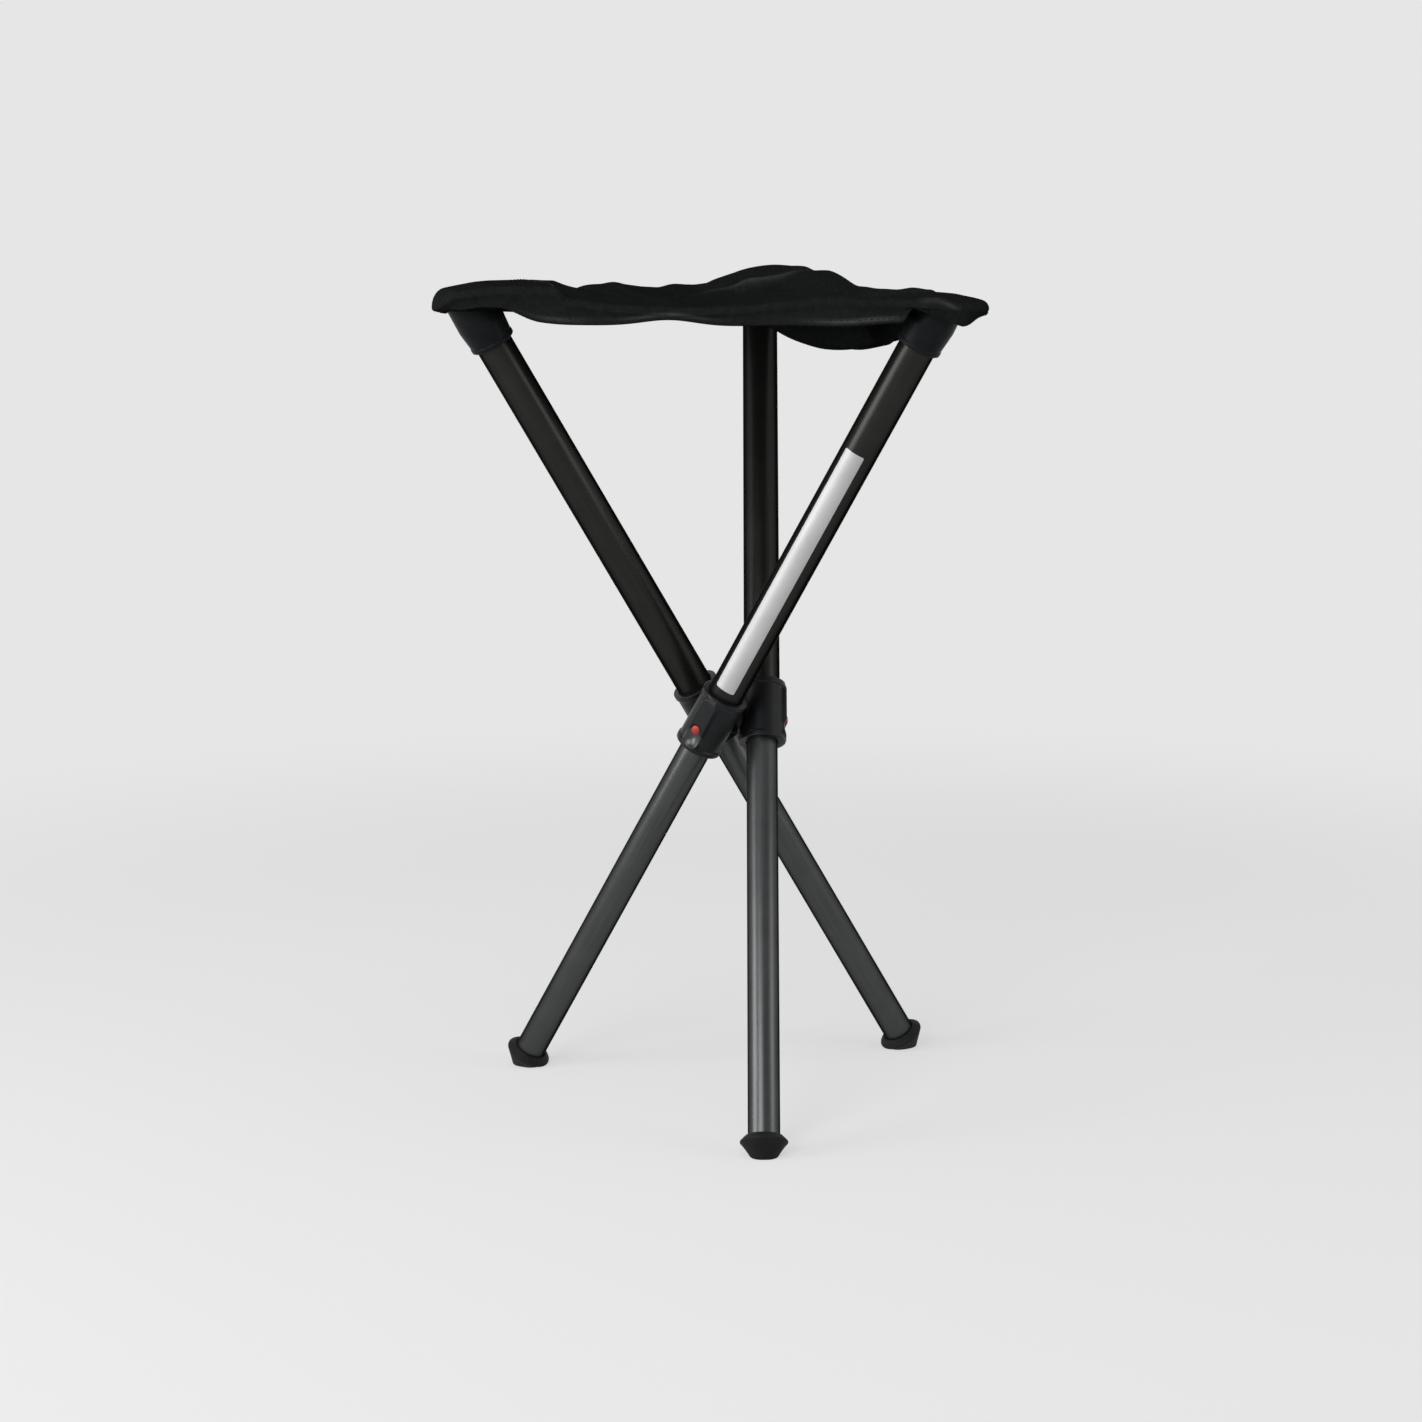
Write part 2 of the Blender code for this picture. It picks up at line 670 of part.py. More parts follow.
def slackness(plan):
    """0 over each corner's pocket, rising smoothly to 1 away from it: each corner holds up the cloth round it."""
    slack = 1.0
    for leg, ease in enumerate((EASE_A, EASE_B, EASE_C)):
        out = about_hub([LEG_OFFSET, CORNER_Y], leg)
        out /= np.linalg.norm(out)
        from_pocket = plan - about_hub([LEG_OFFSET, CORNER_Y - EAR_REACH], leg)
        along = from_pocket @ out * FLAT_HALF_WIDTH / FLAT_LENGTH
        across = from_pocket @ np.array([out[1], -out[0]])
        slack = slack * smooth(np.hypot(along, across), FLAT_HALF_WIDTH, FLAT_HALF_WIDTH + ease)
    return slack


def seat_height(plan, ring, sag):
    """The cloth's upper surface: edges that sag, a deeper middle, and a flat-bottomed belly to one side."""
    hang = sag * ring**2 + CENTRE_SAG * (1 - ring**2)
    from_belly = (plan - np.array([BELLY_X, BELLY_Y])) / np.array([BELLY_LENGTH, BELLY_WIDTH])
    belly = BELLY_DEPTH * np.exp(-(np.linalg.norm(from_belly, axis=-1) ** 4)) * (1 - ring**6)
    return SEAT_HEIGHT - (hang + belly) * slackness(plan)


def seat_panel_mesh():
    outline, normals, share, sag = seat_outline()
    rim = outline - HEM_ROUND * normals
    rings = np.append(
        FLAT_RING * np.linspace(0.0, 1.0, SEAT_MIDDLE_RINGS + 1)[1:] ** SEAT_RING_CROWDING,
        np.linspace(FLAT_RING, 1.0, SEAT_CORNER_RINGS + 1)[1:],
    )
    levels = [np.column_stack([rim * ring, seat_height(rim * ring, ring, sag)]) for ring in rings]
    edge_z = seat_height(rim, 1.0, sag)
    for turn in (math.pi / 4, math.pi / 2):
        plan = rim + HEM_ROUND * math.sin(turn) * normals
        levels.append(np.column_stack([plan, edge_z - HEM_ROUND * (1 - math.cos(turn))]))
    loose = np.sin(math.pi * share)
    wave = (HEM_WAVE * np.cos(2 * math.pi * HEM_WAVES * share) - HEM_HANG) * loose
    levels.append(np.column_stack([outline + (HEM_FLARE * loose)[:, None] * normals, HEM_LOW_Z + wave]))
    bm = bmesh.new()
    centre = bm.verts.new((0.0, 0.0, float(seat_height(np.zeros(2), 0.0, 0.0))))
    loops = [[bm.verts.new(point) for point in level] for level in levels]
    count = len(outline)
    for i in range(count):
        j = (i + 1) % count
        bm.faces.new((centre, loops[0][i], loops[0][j]))
        for inner, outer in zip(loops, loops[1:]):
            bm.faces.new((inner[i], outer[i], outer[j], inner[j]))
    bmesh.ops.recalc_face_normals(bm, faces=bm.faces)
    mesh = bpy.data.meshes.new("seat_sheet")
    bm.to_mesh(mesh)
    bm.free()
    sheet = linked("seat_sheet", mesh)
    solidify = sheet.modifiers.new("Cloth", "SOLIDIFY")
    solidify.thickness = CLOTH
    solidify.offset = -1.0
    solidify.use_even_offset = True
    return baked(sheet)


# Assembly

for startup in list(bpy.data.objects):
    bpy.data.objects.remove(startup)

black_plastic = finish("black_plastic", (0.012, 0.013, 0.015), 0.45, 0.0)
black_tube = finish("black_anodised", (0.016, 0.016, 0.017), 0.35, 0.6)
grey_tube = finish("grey_anodised", (0.075, 0.075, 0.078), 0.38, 0.8)
steel = finish("steel", (0.55, 0.55, 0.56), 0.3, 1.0)
rubber = finish("black_rubber", (0.012, 0.012, 0.013), 0.75, 0.0)
red_plastic = finish("red_plastic", (0.55, 0.02, 0.02), 0.35, 0.0)
cloth = finish("black_cloth", (0.010, 0.011, 0.011), 0.9, 0.0)

stool = empty("stool")
hub = empty("hub", stool, (0.0, 0.0, HUB_HEIGHT))
piece("hub_core", hub_core_mesh(), black_plastic, hub)
piece("seat_panel", seat_panel_mesh(), cloth, stool)

pin_mesh = pivot_pin_mesh()
leg_pieces = (
    ("joint_sleeve", joint_sleeve_mesh(), black_plastic),
    ("upper_tube", tube_mesh("upper_blank", UPPER_R, UPPER_WALL, -UPPER_TUBE_DROP, UPPER_TOP), black_tube),
    ("top_fitting", top_fitting_mesh(), black_plastic),
    ("corner_pocket", corner_pocket_mesh(), cloth),
)
slide_pieces = (
    ("lower_tube", tube_mesh("lower_blank", LOWER_R, LOWER_WALL, LOWER_END, LOWER_ABOVE_PIVOT), grey_tube),
    ("guide_bush", guide_bush_mesh(), black_plastic),
    ("lock_spring", lock_spring_mesh(), steel),
    ("foot", foot_mesh(), rubber),
)
button_mesh = lock_button_mesh()

for index, leg in enumerate(LEGS):
    heading = 2 * math.pi * index / 3
    pin = piece(f"pivot_pin_{leg}", pin_mesh, steel, hub)
    pin.rotation_euler = (0.0, 0.0, heading)
    pivot = Matrix.Rotation(heading, 4, "Z") @ Matrix.Translation((LEG_OFFSET, 0.0, HUB_HEIGHT))
    fold = empty(f"fold_{leg}", stool, pivot.translation, (-LEAN, 0.0, heading))
    slide = empty(f"slide_{leg}", fold)
    for name, mesh, material in leg_pieces:
        piece(f"{name}_{leg}", mesh, material, fold)
    for name, mesh, material in slide_pieces:
        piece(f"{name}_{leg}", mesh, material, slide)
    button = piece(f"lock_button_{leg}", button_mesh, red_plastic, fold)
    button.location = (0.0, 0.0, -BUTTON_DROP)

# The floor point under the middle of the stool's box becomes the origin
bpy.context.view_layer.update()
corners = np.array(
    [
        obj.matrix_world @ vertex.co
        for obj in bpy.data.objects
        if obj.type == "MESH"
        for vertex in obj.data.vertices
    ]
)
middle = (corners.min(axis=0) + corners.max(axis=0)) / 2
stool.location = (-middle[0], -middle[1], 0.0)
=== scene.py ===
import json
import math

import bmesh
import bpy
import numpy as np
from mathutils import Matrix, Vector


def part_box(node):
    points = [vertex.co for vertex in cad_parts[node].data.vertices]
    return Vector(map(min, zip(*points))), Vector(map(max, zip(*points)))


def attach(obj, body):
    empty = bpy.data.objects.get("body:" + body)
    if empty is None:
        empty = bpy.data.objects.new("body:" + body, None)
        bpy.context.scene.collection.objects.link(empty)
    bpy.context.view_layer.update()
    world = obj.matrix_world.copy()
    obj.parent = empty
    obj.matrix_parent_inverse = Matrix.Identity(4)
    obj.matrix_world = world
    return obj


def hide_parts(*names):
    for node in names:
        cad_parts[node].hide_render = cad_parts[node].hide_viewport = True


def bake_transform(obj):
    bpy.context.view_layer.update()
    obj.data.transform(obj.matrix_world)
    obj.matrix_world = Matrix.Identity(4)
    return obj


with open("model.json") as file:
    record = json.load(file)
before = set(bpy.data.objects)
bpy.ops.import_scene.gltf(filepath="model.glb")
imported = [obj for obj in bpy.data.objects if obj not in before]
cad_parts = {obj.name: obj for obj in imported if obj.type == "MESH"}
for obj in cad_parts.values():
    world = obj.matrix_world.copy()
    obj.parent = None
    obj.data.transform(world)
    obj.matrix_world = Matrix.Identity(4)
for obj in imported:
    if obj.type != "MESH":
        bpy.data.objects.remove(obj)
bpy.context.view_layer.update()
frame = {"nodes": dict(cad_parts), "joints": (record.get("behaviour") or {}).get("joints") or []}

# Hub core and hinge pins
# The middle of the hub is a three-sided block of glass-filled nylon. A plain steel pin stands in each of its
# flats, and one leg's sleeve turns on it. Only slivers of them show between the sleeves.

LEGS = ("a", "b", "c")


class Shade:
    """One socket in a material's node tree. Operators between shades and numbers add Math nodes."""

    def __init__(self, tree, socket=None):
        self.tree = tree
        self.socket = socket

    def node(self, kind, settings=None, sockets=None, out=0):
        """Adds a node of that kind, sets its settings and then its sockets, and returns one output."""
        made = self.tree.nodes.new(kind)
        for name, value in (settings or {}).items():
            setattr(made, name, value)
        for key, value in (sockets or {}).items():
            if isinstance(value, Shade):
                self.tree.links.new(value.socket, made.inputs[key])
            else:
                made.inputs[key].default_value = value
        return Shade(self.tree, made.outputs[out])

    def math(self, operation, first, second=0.0):
        """One Math node's operation on one value or two."""
        return self.node("ShaderNodeMath", {"operation": operation}, {0: first, 1: second})

    def __add__(self, other):
        return self.math("ADD", self, other)

    __radd__ = __add__

    def __sub__(self, other):
        return self.math("SUBTRACT", self, other)

    def __rsub__(self, other):
        return self.math("SUBTRACT", other, self)

    def __mul__(self, other):
        return self.math("MULTIPLY", self, other)

    __rmul__ = __mul__

    def step(self, low, high):
        """0 below low, 1 above high, and a smooth rise between them."""
        kind = {"interpolation_type": "SMOOTHSTEP"}
        return self.node("ShaderNodeMapRange", kind, {0: self, 1: low, 2: high})

    def tint(self, dark, light):
        """The colour that is dark where this is 0 and light where it is 1. Dark may be a shade."""
        if not isinstance(dark, Shade):
            dark = (*dark, 1)
        return self.node("ShaderNodeMix", {"data_type": "RGBA"}, {0: self, 6: dark, 7: (*light, 1)}, 2)


class Finish:
    """A material round one Principled shader: fixed values sit on its sockets, and feed() links what
    varies."""

    def __init__(self, name, **fixed):
        self.material = bpy.data.materials.new(name)
        self.material.use_nodes = True
        self.tree = self.material.node_tree
        self.shader = self.tree.nodes["Principled BSDF"]
        for key, value in fixed.items():
            self.shader.inputs[key.replace("_", " ")].default_value = value

    def feed(self, socket, shade):
        """Links a shade to one of the shader's sockets."""
        self.tree.links.new(shade.socket, self.shader.inputs[socket])

    def bump(self, height, distance):
        """Relief of that height field, as deep as distance in metres."""
        self.feed("Normal", height.node("ShaderNodeBump", {}, {"Distance": distance, "Height": height}))

    def noise(self, scale, detail=2.0, stretch=None):
        """Noise with about scale bumps to the metre, on the object's own place, or on its UV map with
        a stretch."""
        start = Shade(self.tree)
        if stretch is None:
            place = start.node("ShaderNodeTexCoord", out="Object")
        else:
            flat = start.node("ShaderNodeUVMap", {"uv_map": "surface"})
            place = start.node("ShaderNodeMapping", {}, {"Vector": flat, "Scale": (*stretch, 1)})
        return start.node("ShaderNodeTexNoise", {}, {"Vector": place, "Scale": scale, "Detail": detail})

    def polish_and_painted_sheen(self):
        """The value, from 0 to 1, that the second UV map holds: polish from fingers on the sleeves, and the
        strength of painted highlights on the seat.
        """
        held = Shade(self.tree).node("ShaderNodeUVMap", {"uv_map": "polish_and_painted_sheen"})
        return held.node("ShaderNodeSeparateXYZ", {}, {0: held})


def moulded_nylon(name, dark, light, rough, gloss):
    """Glass-filled nylon from a spark-eroded mould: an even fine grain, slightly uneven in colour and
    gloss."""
    finish = Finish(name, Specular_IOR_Level=gloss)
    cloud = finish.noise(90.0, 3.0)
    grain = finish.noise(1500.0, 2.0)
    finish.feed("Base Color", (cloud * 0.6 + grain * 0.4).step(0.3, 0.7).tint(dark, light))
    finish.feed("Roughness", rough - 0.06 + 0.12 * cloud)
    finish.bump(grain, 0.00006)
    return finish


def dress(node, finish):
    """Puts a finish on a CAD node that stays in view."""
    for held in frame["nodes"][node].material_slots:
        held.material = finish.material


black_nylon = moulded_nylon("black_nylon", (0.0064, 0.0072, 0.0080), (0.0110, 0.0120, 0.0132), 0.40, 0.06)
plain_steel = Finish("plain_steel", Metallic=1.0)
steel_cloud = plain_steel.noise(400.0, 3.0)
plain_steel.feed("Base Color", steel_cloud.tint((0.42, 0.42, 0.43), (0.58, 0.58, 0.59)))
plain_steel.feed("Roughness", 0.26 + 0.16 * steel_cloud)
dress("hub_core", black_nylon)
for leg in LEGS:
    dress(f"pivot_pin_{leg}", plain_steel)

# Lower tubes
# Each lower leg is a 19 mm aluminium tube, drawn and anodised dark grey with fine lengthwise drawing marks.
# It slides in the upper tube, and its ends are cut square with the edges broken.

LOWER_WALL = 0.0012
TUBE_SIDES = 112
CUT_EDGE = 0.0003
joints = {joint["name"]: joint for joint in frame["joints"]}
hub_axis = np.mean([joints[f"fold_{leg}"]["pos_m"] for leg in LEGS], axis=0)


def leg_axes(leg):
    """Leg coordinates, as three axes and an origin: X out along the hinge pin, Z up the leg, Y across both,
    and zero where the pin and the leg's axis cross."""
    pin = np.array(joints[f"fold_{leg}"]["axis"], float)
    up = np.array(joints[f"retract_{leg}"]["axis"], float)
    return np.stack([pin, np.cross(up, pin), up]), np.array(joints[f"fold_{leg}"]["pos_m"], float)


def on_leg(points, leg):
    """Points in leg coordinates, put into the shared frame."""
    axes, pivot = leg_axes(leg)
    return points @ axes + pivot


def reach(node, leg):
    """How far down and up its leg a node goes, and its greatest distance from the leg's axis."""
    axes, pivot = leg_axes(leg)
    mesh = frame["nodes"][node].data
    points = np.empty(3 * len(mesh.vertices))
    mesh.vertices.foreach_get("co", points)
    points = (points.reshape(-1, 3) - pivot) @ axes.T
    return points[:, 2].min(), points[:, 2].max(), np.linalg.norm(points[:, :2], axis=1).max()


def circle(radius, height, sides=TUBE_SIDES):
    """A ring round the leg's axis: (radius cos a, radius sin a, height)."""
    turn = np.arange(sides) * 2 * math.pi / sides
    return np.stack([radius * np.cos(turn), radius * np.sin(turn), np.full(sides, height)], -1)


def rounded(keys, radii, loop=False, steps=4):
    """Rows through key rings, point by point: at each key, a parabola that starts and ends its radius
    away, or just short of halfway to the next key."""
    keys = np.asarray(keys, float)
    radii = np.broadcast_to(radii, len(keys))
    before = np.roll(keys, 1, axis=0) - keys
    after = np.roll(keys, -1, axis=0) - keys
    if not loop:
        before[0] = 0
        after[-1] = 0
    lengths = [np.linalg.norm(side, axis=-1, keepdims=True) + 1e-12 for side in (before, after)]
    most = 0.48
    starts = keys + before * np.minimum(radii[:, None, None] / lengths[0], most)
    ends = keys + after * np.minimum(radii[:, None, None] / lengths[1], most)
    part = np.linspace(0, 1, steps)[None, :, None, None]
    rows = (1 - part) ** 2 * starts[:, None] + 2 * part * (1 - part) * keys[:, None] + part**2 * ends[:, None]
    return rows.reshape(-1, *keys.shape[1:])


def closed_up(mesh, finish):
    """A smooth object of a mesh, with points that coincide joined and all faces turned outwards."""
    work = bmesh.new()
    work.from_mesh(mesh)
    bmesh.ops.remove_doubles(work, verts=work.verts, dist=1e-7)
    bmesh.ops.recalc_face_normals(work, faces=work.faces)
    work.to_mesh(mesh)
    work.free()
    mesh.shade_smooth()
    mesh.materials.append(finish.material)
    piece = bpy.data.objects.new(mesh.name, mesh)
    bpy.context.scene.collection.objects.link(piece)
    return piece


def surface(name, rows, finish, ring=True, ends="caps", uv=None, polish_and_painted_sheen=None, sharp=40.0):
    """A mesh on a grid of rows. A row is a closed ring or an open line. The rows end in caps, loop round or
    stop. Its UV map "surface" holds metres round and along it, unless uv gives a place for each grid point,
    and a second UV map holds a value for each grid point: polish on the sleeves, painted highlights on the
    seat."""
    if ends == "caps":
        tips = [np.repeat(rows[at].mean(0)[None, None], rows.shape[1], axis=1) for at in (0, -1)]
        rows = np.concatenate([tips[0], rows, tips[1]])
    count, around = rows.shape[:2]
    steps = count if ends == "loop" else count - 1
    spans = around if ring else around - 1
    i, j = np.meshgrid(np.arange(steps), np.arange(spans), indexing="ij")
    along = np.stack([i, i, i + 1, i + 1], -1)
    across = np.stack([j, j + 1, j + 1, j], -1)
    mesh = bpy.data.meshes.new(name)
    faces = (along % count) * around + across % around
    mesh.from_pydata(rows.reshape(-1, 3).tolist(), [], faces.reshape(-1, 4).tolist())
    if uv is None:
        round_it = np.linalg.norm(np.diff(rows, axis=1, append=rows[:, :1]), axis=-1).max(0)
        down_it = np.linalg.norm(np.diff(rows, axis=0, append=rows[:1]), axis=-1).mean(1)
        u = np.concatenate([[0], np.cumsum(round_it)])[across]
        v = np.concatenate([[0], np.cumsum(down_it)])[along]
        flat = np.stack([u, v], -1)
    else:
        flat = uv[along % count, across % around]
    mesh.uv_layers.new(name="surface").data.foreach_set("uv", flat.ravel())
    if polish_and_painted_sheen is not None:
        mesh.uv_layers.new(name="polish_and_painted_sheen").data.foreach_set("uv", polish_and_painted_sheen[along % count, across % around].repeat(2))
    piece = closed_up(mesh, finish)
    mesh.set_sharp_from_angle(angle=math.radians(sharp))
    return piece


def fit(piece, body, slot, *nodes):
    """The piece rides on a body and stands for CAD nodes, which it hides. Its slot is not used."""
    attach(piece, body)
    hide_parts(*nodes)


def tube(name, low, high, radius, wall, finish, leg):
    """A tube cut square: outside up, over the end, down the bore and back, with the four edges broken."""
    bore = radius - wall
    keys = [circle(radius, low), circle(radius, high), circle(bore, high), circle(bore, low)]
    return surface(name, on_leg(rounded(keys, CUT_EDGE, loop=True), leg), finish, ends="loop", sharp=50.0)


def anodised(name, dark, light, rough):
    """Anodised aluminium tube: drawing marks run along it as fine streaks in colour, gloss and relief, and
    the dyed layer swallows light at a low angle, so that the tube's sides are darker than its middle."""
    finish = Finish(name, Metallic=0.8, Specular_IOR_Level=0.0, Specular_Tint=(0.12, 0.12, 0.12, 1))
    streaks = finish.noise(1.0, 3.0, stretch=(2600.0, 14.0))
    cloud = finish.noise(60.0, 2.0)
    finish.feed("Base Color", (streaks * 0.7 + cloud * 0.3).step(0.25, 0.75).tint(dark, light))
    finish.feed("Roughness", rough + 0.10 * (streaks - 0.5) + 0.06 * (cloud - 0.5))
    finish.bump(streaks, 0.000012)
    return finish


grey_anodised = anodised("grey_anodised", (0.058, 0.060, 0.061), (0.082, 0.084, 0.085), 0.33)
for leg in LEGS:
    low, high, radius = reach(f"lower_tube_{leg}", leg)
    piece = tube(f"lower_leg_tube_{leg}", low, high, radius, LOWER_WALL, grey_anodised, leg)
    fit(piece, f"lower_leg_{leg}", "grey_tube", f"lower_tube_{leg}")

# Guide bushes and lock springs
# Inside each leg a nylon ring on the lower tube's top end runs in the upper tube, and a flat steel spring
# bent to a V carries the lock pin. Both are out of sight unless a tube is taken apart.

for leg in LEGS:
    dress(f"guide_bush_{leg}", black_nylon)
    dress(f"lock_spring_{leg}", plain_steel)

# Feet
# Each foot is one moulding of black rubber, plugged into the lower tube. It has a low lip round the tube, a
# round flange, and sides that draw in to a rounded square sole, which lies flat on the floor.

FOOT_R = 0.0142
FOOT_BEVEL = 0.0025
FOOT_LIP_WALL = 0.0011
FOOT_LIP = 0.0015
FOOT_PLUG = 0.012
FOOT_FIT = 0.0002
FOOT_STOP = 0.0003
FLANGE_ABOVE = 0.0006
FLANGE_BELOW = 0.0004
SOLE_LENGTH = 0.020
SOLE_WIDTH = 0.018
SOLE_INWARD = 0.005
SOLE_SQUARENESS = 2.6
SOLE_EDGE = 0.0009
SOLE_RINGS = ((1.0, SOLE_EDGE), (0.93, 0.0), (0.62, 0.0), (0.58, 0.0007))
FOOT_ROUNDING = (0, 0.0003, 0.0001, 0.0004, 0.0005, 0.0005, 0.0005, 0.0006, 0.0006, 0.0003, 0.0003)

black_rubber = Finish("black_rubber", Specular_IOR_Level=0.2)
rubber_dust = black_rubber.noise(140.0, 4.0)
rubber_grain = black_rubber.noise(2200.0, 2.0)
rubber_black = rubber_dust.step(0.35, 0.8).tint((0.0045, 0.0045, 0.0047), (0.0115, 0.0115, 0.0112))
black_rubber.feed("Base Color", rubber_black)
black_rubber.feed("Roughness", 0.60 + 0.2 * rubber_dust)
black_rubber.bump(rubber_grain, 0.00005)


def sole(leg, scale, height):
    """A rounded square over the floor, |x / w|^n + |y / l|^n = 1, set in from where the leg's axis meets
    the floor."""
    axes, pivot = leg_axes(leg)
    turn = np.arange(TUBE_SIDES) * 2 * math.pi / TUBE_SIDES
    power = 2 / SOLE_SQUARENESS
    x = np.sign(np.cos(turn)) * np.abs(np.cos(turn)) ** power * SOLE_WIDTH / 2
    y = np.sign(np.sin(turn)) * np.abs(np.sin(turn)) ** power * SOLE_LENGTH / 2
    ground = axes[2, :2] / np.linalg.norm(axes[2, :2])
    foot = -pivot[2] * axes[2, :2] / axes[2, 2] + ground * SOLE_INWARD
    plan = np.outer(x * scale, axes[0, :2]) + np.outer(y * scale, ground) + foot
    return np.column_stack([plan, np.full(TUBE_SIDES, height - pivot[2])]) @ axes.T


for leg in LEGS:
    low, _, radius = reach(f"lower_tube_{leg}", leg)
    flange = low - FOOT_BEVEL
    plug_r = radius - LOWER_WALL - FOOT_FIT
    keys = [
        circle(plug_r, low + FOOT_PLUG),
        circle(plug_r, low - FOOT_STOP),
        circle(radius + FOOT_FIT, low - FOOT_STOP),
        circle(radius + FOOT_STOP, low + FOOT_LIP),
        circle(radius + FOOT_FIT + FOOT_LIP_WALL, low + FOOT_LIP),
        circle(FOOT_R, flange + FLANGE_ABOVE),
        circle(FOOT_R, flange - FLANGE_BELOW),
    ]
    keys += [sole(leg, scale, height) for scale, height in SOLE_RINGS]
    rows = on_leg(rounded(keys, FOOT_ROUNDING), leg)
    piece = surface(f"rubber_foot_{leg}", rows, black_rubber, sharp=50.0)
    fit(piece, f"lower_leg_{leg}", "black_rubber", f"foot_{leg}")

# Upper tubes
# Each upper leg is a 22 mm aluminium tube, anodised satin black, from the sleeve up into the seat's corner.
# A thin foil strip is stuck along the front of one of them, plain silver with rounded corners.

UPPER_WALL = 0.0009
STRIP_LOW = 0.0284
STRIP_HIGH = 0.2003
STRIP_MIDDLE = math.radians(10.7)
STRIP_HALF = math.radians(34.0)
STRIP_CORNER = 0.0012
STRIP_FOIL = 0.00018
STRIP_GLUE = 0.00003
STRIP_ROWS = 121
STRIP_ACROSS = 41

black_anodised = anodised("black_anodised", (0.0225, 0.0230, 0.0212), (0.0320, 0.0325, 0.0302), 0.32)
silver_foil = Finish("silver_foil", Metallic=0.55)
foil_brush = silver_foil.noise(1.0, 2.0, stretch=(900.0, 30.0))
foil_cloud = silver_foil.noise(40.0, 2.0)
silver_foil.feed("Base Color", foil_cloud.tint((0.42, 0.42, 0.425), (0.53, 0.53, 0.535)))
silver_foil.feed("Roughness", 0.46 + 0.12 * foil_brush)
silver_foil.bump(foil_brush, 0.00001)

for leg in LEGS:
    low, high, radius = reach(f"upper_tube_{leg}", leg)
    piece = tube(f"upper_leg_tube_{leg}", low, high, radius, UPPER_WALL, black_anodised, leg)
    fit(piece, f"upper_leg_{leg}", "black_tube", f"upper_tube_{leg}")


def foil_strip(radius):
    """A strip bent round the tube: each row is a loop out over the face and back under it, and near the two
    ends the row narrows by the arc of a circle, which rounds the corners."""
    height = STRIP_LOW + (STRIP_HIGH - STRIP_LOW) * (1 - np.cos(np.linspace(0, math.pi, STRIP_ROWS))) / 2
    into = np.clip(STRIP_CORNER - np.minimum(height - STRIP_LOW, STRIP_HIGH - height), 0, STRIP_CORNER)
    narrow = (STRIP_CORNER - np.sqrt(np.maximum(STRIP_CORNER**2 - into**2, 0))) / radius
    share = np.concatenate([np.linspace(-1, 1, STRIP_ACROSS), np.linspace(1, -1, STRIP_ACROSS)])
    lift = np.repeat([radius + STRIP_FOIL, radius + STRIP_GLUE], STRIP_ACROSS)
    turn = STRIP_MIDDLE + share * (STRIP_HALF - narrow[:, None])
    z = np.repeat(height[:, None], len(share), axis=1)
    return np.stack([lift * np.cos(turn), lift * np.sin(turn), z], -1)


strip = surface("foil_strip_c", on_leg(foil_strip(radius), "c"), silver_foil, sharp=30.0)
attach(strip, "upper_leg_c")

# Joint sleeves
# Each sleeve is one nylon moulding clamped on the lower end of an upper tube: a barrel with a lip at both
# ends, a flat boss with the hinge pin on the hub side, and outside a raised pad with a button hole and a
# finger scoop.

SLEEVE_R = 0.0137
SLEEVE_LIP_RISE = 0.0008
SLEEVE_LIP_LENGTH = 0.0035
SLEEVE_LIP_EASE = 0.0006
SLEEVE_EDGE = 0.0007
SLEEVE_TUBE_GAP = 0.0003
SLEEVE_SLIDE_GAP = 0.0005
BORE_STEP = -0.0093
PAD_FACE = 0.0153
PAD_HALF_WIDTH = 0.00625
PAD_ABOVE = 0.0195
PAD_BELOW = 0.0145
PAD_CORNER = 0.004
PAD_EDGE = 0.0016
SCOOP_R = 0.0072
SCOOP_DEPTH = 0.0029
SCOOP_DROP = 0.0078
SCOOP_LIP = 0.12
BOSS_FACE = 0.0150
BOSS_R = 0.009
BOSS_EDGE = 0.0005
BUTTON_DROP = 0.002
BUTTON_R = 0.0031
BUTTON_GAP = 0.00035
BUTTON_HOLE = 0.0036
HOLE_WALL = 0.00015
FINE_HALF = 27
FINE_LOW = -0.0056
FINE_HIGH = 0.0016

slate_nylon = moulded_nylon("slate_nylon", (0.0040, 0.0045, 0.0053), (0.0078, 0.0086, 0.0098), 0.38, 0.20)
slate_nylon.shader.inputs["Coat Roughness"].default_value = 0.32
slate_nylon.feed("Coat Weight", slate_nylon.polish_and_painted_sheen())


def smooth(value, low, high):
    """0 below low, 1 above high, and the cubic 3 t^2 - 2 t^3 between them."""
    t = np.clip((value - low) / (high - low), 0, 1)
    return t * t * (3 - 2 * t)


